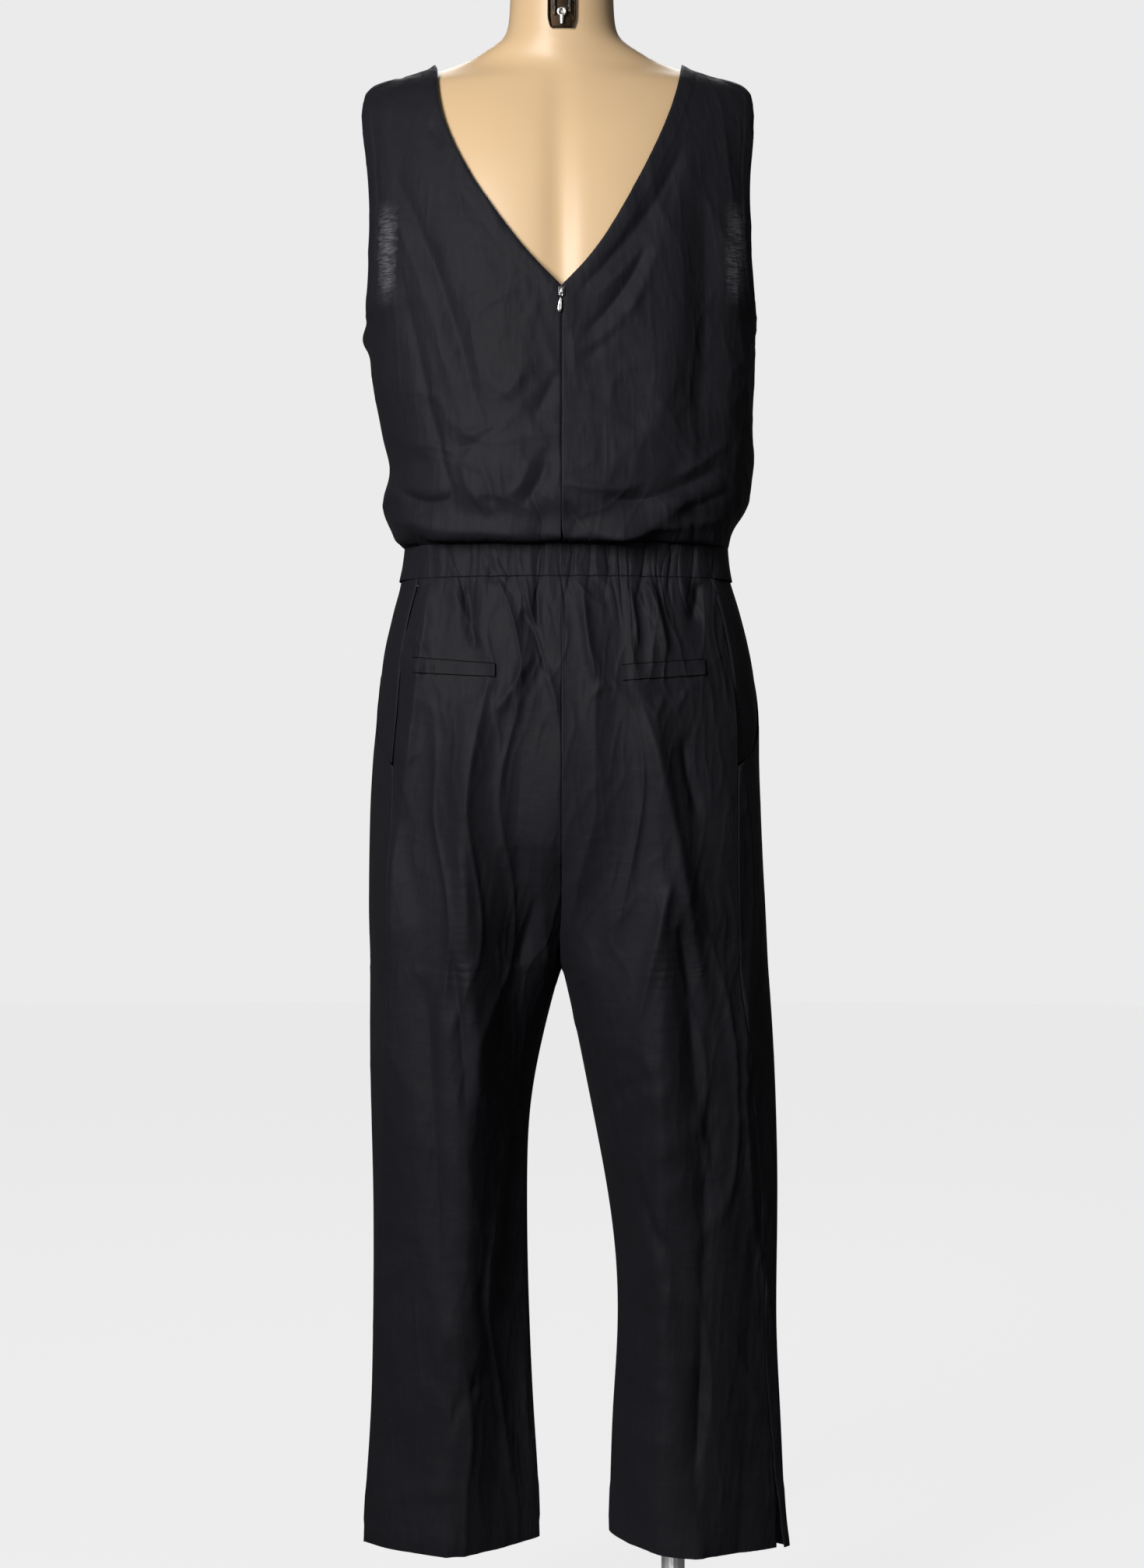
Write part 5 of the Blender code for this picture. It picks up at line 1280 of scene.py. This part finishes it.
# %% The socket screw
SCREW_Z, SCREW_RADIUS, SCREW_TALL, SCREW_BEVEL = 1.5357, 0.0047, 0.0042, 0.0008
SCREW_PROUD = 0.0006  # above the floor of the plate
HEX_RADIUS, HEX_DEEP, HEX_BEVEL = 0.0023, 0.0028, 0.0004
HEX_EDGE = 0.0001
PIN_TALL, PIN_TOP, PIN_FOOT, PIN_BACK = 0.0075, 0.0027, 0.0019, 0.6
SCREW_STEPS, PIN_SIDES = 36, 20


def cut_hex(bm):
    """Draws the round socket in to six flats."""
    side = math.pi / 3
    for vertex in bm.verts:
        if MERGE < vertex.co.xy.length < HEX_RADIUS + HEX_EDGE:
            turn = math.atan2(vertex.co.y, vertex.co.x) % side - side / 2
            vertex.co.xy *= math.cos(side / 2) / math.cos(turn)


def make_screw(y):
    bm = bmesh.new()
    section = [
        (0, SCREW_TALL - HEX_DEEP), (HEX_RADIUS, SCREW_TALL - HEX_DEEP),
        (HEX_RADIUS, SCREW_TALL - HEX_BEVEL), (HEX_RADIUS + HEX_BEVEL, SCREW_TALL),
        (SCREW_RADIUS - SCREW_BEVEL, SCREW_TALL), (SCREW_RADIUS, SCREW_TALL - SCREW_BEVEL),
        (SCREW_RADIUS, 0),
    ]
    points = [bm.verts.new((x, 0, z)) for x, z in section]
    edges = [bm.edges.new(pair) for pair in zip(points, points[1:])]
    bmesh.ops.spin(
        bm, geom=points + edges, axis=(0, 0, 1), cent=(0, 0, 0), angle=math.tau,
        steps=SCREW_STEPS, use_merge=True,
    )
    bmesh.ops.remove_doubles(bm, verts=bm.verts, dist=MERGE)
    cut_hex(bm)
    toward_back = Matrix.Rotation(-math.pi / 2, 3, "X")
    bmesh.ops.rotate(bm, verts=bm.verts, cent=(0, 0, 0), matrix=toward_back)
    pin = bmesh.ops.create_cone(
        bm, cap_ends=True, segments=PIN_SIDES, radius1=PIN_FOOT, radius2=PIN_TOP, depth=PIN_TALL
    )
    below = (0, PIN_TOP * PIN_BACK, -SCREW_RADIUS - PIN_TALL / 3)
    bmesh.ops.translate(bm, verts=pin["verts"], vec=below)
    bmesh.ops.translate(bm, verts=bm.verts, vec=(0, y, SCREW_Z))
    bmesh.ops.recalc_face_normals(bm, faces=bm.faces)
    screw = finish_piece("nape_socket_screw", bm, NICKEL, "nape_bolt", BODY, "bronze")
    screw.data.set_sharp_from_angle(angle=RIM_TURN)


make_screw(plate_y(0, SCREW_Z) - PLATE_SINK + SCREW_PROUD)

# %% The wire loop
WIRE_HALF, WIRE_RADIUS, WIRE_ARCH_Z = 0.0071, 0.0012, 1.5535
WIRE_FEET_Z = {1: 1.5335, -1: 1.5360}  # the wearer's left leg reaches lower
WIRE_PROUD = 0.0010
WIRE_SIDES, ARCH_STEPS = 12, 18


def make_wire(y):
    bm = bmesh.new()
    made = bmesh.ops.create_circle(bm, segments=WIRE_SIDES, radius=WIRE_RADIUS)
    bmesh.ops.translate(bm, verts=made["verts"], vec=(WIRE_HALF, y, WIRE_ARCH_Z))
    ring = list(bm.edges)
    spun = bmesh.ops.spin(
        bm, geom=made["verts"] + ring, axis=(0, -1, 0), cent=(0, y, WIRE_ARCH_Z), angle=math.pi,
        steps=ARCH_STEPS,
    )
    other = [part for part in spun["geom_last"] if isinstance(part, bmesh.types.BMEdge)]
    for sign, end in ((1, ring), (-1, other)):
        drawn = bmesh.ops.extrude_edge_only(bm, edges=end)["geom"]
        moved = [part for part in drawn if isinstance(part, bmesh.types.BMVert)]
        bmesh.ops.translate(bm, verts=moved, vec=(0, 0, WIRE_FEET_Z[sign] - WIRE_ARCH_Z))
        bmesh.ops.contextual_create(bm, geom=moved)
    bmesh.ops.recalc_face_normals(bm, faces=bm.faces)
    finish_piece("nape_wire_loop", bm, SILVER, "nape_loop", BODY, "bronze")


make_wire(plate_y(0, SCREW_Z) + WIRE_PROUD)

# %% [markdown]
# ## The zip pull
#
# A cast teardrop with a domed face hangs by a long eye on the slider's bridge. It could be an
# outline given a thickness, but then its face would be flat. The drop is a half section spun
# and then flattened, so its face is a dome, and the eye is a ring drawn out into a link. It
# is made about the hinge and moved there, because it swings.

# %% Zip pull
HINGE_PLACE = frame["joints"][0]["pos_m"]
PULL_SECTION = (  # height below the hinge, and radius
    (-0.0066, 0.0006), (-0.0080, 0.0011), (-0.0105, 0.0016), (-0.0135, 0.0020),
    (-0.0162, 0.0021), (-0.0182, 0.0018), (-0.0193, 0.0011), (-0.0197, 0.0),
)
PULL_FLAT, PULL_LEAN = 0.42, math.radians(6)
PULL_STEPS = 32
EYE_HALF, EYE_WIRE, EYE_LEG = 0.0011, 0.0003, 0.0040
EYE_SIDES, EYE_STEPS = 10, 24


def eye_mesh():
    """A ring about the hinge, with its lower half drawn down into a link."""
    eye = bmesh.new()
    made = bmesh.ops.create_circle(eye, segments=EYE_SIDES, radius=EYE_WIRE)
    bmesh.ops.translate(eye, verts=made["verts"], vec=(EYE_HALF, 0, 0))
    bmesh.ops.spin(
        eye, geom=made["verts"] + list(eye.edges), axis=(0, 1, 0), cent=(0, 0, 0),
        angle=math.tau, steps=EYE_STEPS, use_merge=True,
    )
    for vertex in eye.verts:
        if vertex.co.z < -MERGE:
            vertex.co.z -= EYE_LEG
    ring = bpy.data.meshes.new("eye")
    eye.to_mesh(ring)
    eye.free()
    return ring


def make_pull():
    bm = bmesh.new()
    points = [bm.verts.new((radius, 0, z)) for z, radius in PULL_SECTION]
    edges = [bm.edges.new(pair) for pair in zip(points, points[1:])]
    bmesh.ops.spin(
        bm, geom=points + edges, axis=(0, 0, 1), cent=(0, 0, 0), angle=math.tau,
        steps=PULL_STEPS, use_merge=True,
    )
    bmesh.ops.remove_doubles(bm, verts=bm.verts, dist=MERGE)
    bmesh.ops.scale(bm, verts=bm.verts, vec=(1, PULL_FLAT, 1))
    ring = eye_mesh()
    bm.from_mesh(ring)
    bpy.data.meshes.remove(ring)
    lean = Matrix.Rotation(-PULL_LEAN, 3, "Y")
    bmesh.ops.rotate(bm, verts=bm.verts, cent=(0, 0, 0), matrix=lean)
    bmesh.ops.translate(bm, verts=bm.verts, vec=HINGE_PLACE)
    bmesh.ops.recalc_face_normals(bm, faces=bm.faces)
    finish_piece("zip_teardrop_pull", bm, SILVER, "zip_pull", PULL_BODY, "zip_metal")


make_pull()

# %% [markdown]
# ## The studio
#
# Black cloth against a pale ground is hard to light: a ground bright enough to look pale
# would throw a haze on the cloth. So the floor and the round wall glow evenly by themselves,
# and neither lights the cloth nor shows in its sheen. One soft light to the left of the camera
# models the folds, a faint fill stands to its right, and one high light in front of the
# wearer shows the other side.

# %% Floor and wall
STAGE_RADIUS, WALL_HIGH, STAGE_SIDES = 9.0, 8.0, 96
FLOOR_BASE, FLOOR_GLOW, WALL_GLOW = 0.04, 0.81, 0.83


def stage_paint(name, base, glow):
    paint = Paint(
        name,
        Base_Color=(base, base, base, 1.0),
        Specular_IOR_Level=0.0,
        Roughness=0.9,
        Emission_Color=(glow, glow, glow, 1.0),
        Emission_Strength=1.0,
    )
    return paint.material


def stage():
    bm = bmesh.new()
    bmesh.ops.create_circle(bm, cap_ends=True, segments=STAGE_SIDES, radius=STAGE_RADIUS)
    floor = made_object("floor", bm, stage_paint("pale floor", FLOOR_BASE, FLOOR_GLOW))
    bm = bmesh.new()
    bmesh.ops.create_circle(bm, segments=STAGE_SIDES, radius=STAGE_RADIUS)
    drawn = bmesh.ops.extrude_edge_only(bm, edges=bm.edges)["geom"]
    moved = [part for part in drawn if isinstance(part, bmesh.types.BMVert)]
    bmesh.ops.translate(bm, verts=moved, vec=(0, 0, WALL_HIGH))
    wall = made_object("backdrop", bm, stage_paint("pale wall", 0.0, WALL_GLOW))
    for obj in (floor, wall):
        obj.visible_diffuse = obj.visible_glossy = False
    wall.visible_shadow = False
    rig.stage(floor, wall)
    print("stage:", 2 * STAGE_RADIUS, "m across")


stage()

# %% Lights
SKY_STRENGTH = 0.10


def light(name, place, aim, size, power):
    lamp = bpy.data.lights.new(name, "AREA")
    lamp.shape = "RECTANGLE"
    lamp.size, lamp.size_y = size
    lamp.energy = power
    obj = bpy.data.objects.new(name, lamp)
    obj.location = place
    obj.rotation_euler = (Vector(aim) - Vector(place)).to_track_quat("-Z", "Y").to_euler()
    bpy.context.scene.collection.objects.link(obj)


light("key", place=(1.08, 2.0, 1.75), aim=(0, 0, 0.85), size=(0.6, 1.1), power=117)
light("fill", place=(-1.6, 3.2, 1.8), aim=(0, 0, 1.1), size=(1.2, 1.6), power=14)
light("front", place=(0.0, -2.5, 3.2), aim=(0, 0, 0.8), size=(1.2, 1.2), power=50)
world = bpy.data.worlds.new("even sky")
world.use_nodes = True
sky = world.node_tree.nodes["Background"]
sky.inputs["Color"].default_value = (1.0, 1.0, 1.0, 1.0)
sky.inputs["Strength"].default_value = SKY_STRENGTH
bpy.context.scene.world = world
print("lights:", ", ".join(lamp.name for lamp in bpy.data.lights))

# %% [markdown]
# ## Size and finish
#
# The looks must not change the object's size, so the box of the finished model is kept beside
# the box of the solids, which was taken before anything was added.

# %% Sizes and finish
box_now = [list(corner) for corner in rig.bounds()]
with open("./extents.json", "w") as size_file:
    json.dump({"cad": CAD_BOX, "visual": box_now}, size_file)
print("box of the model:", box_now)
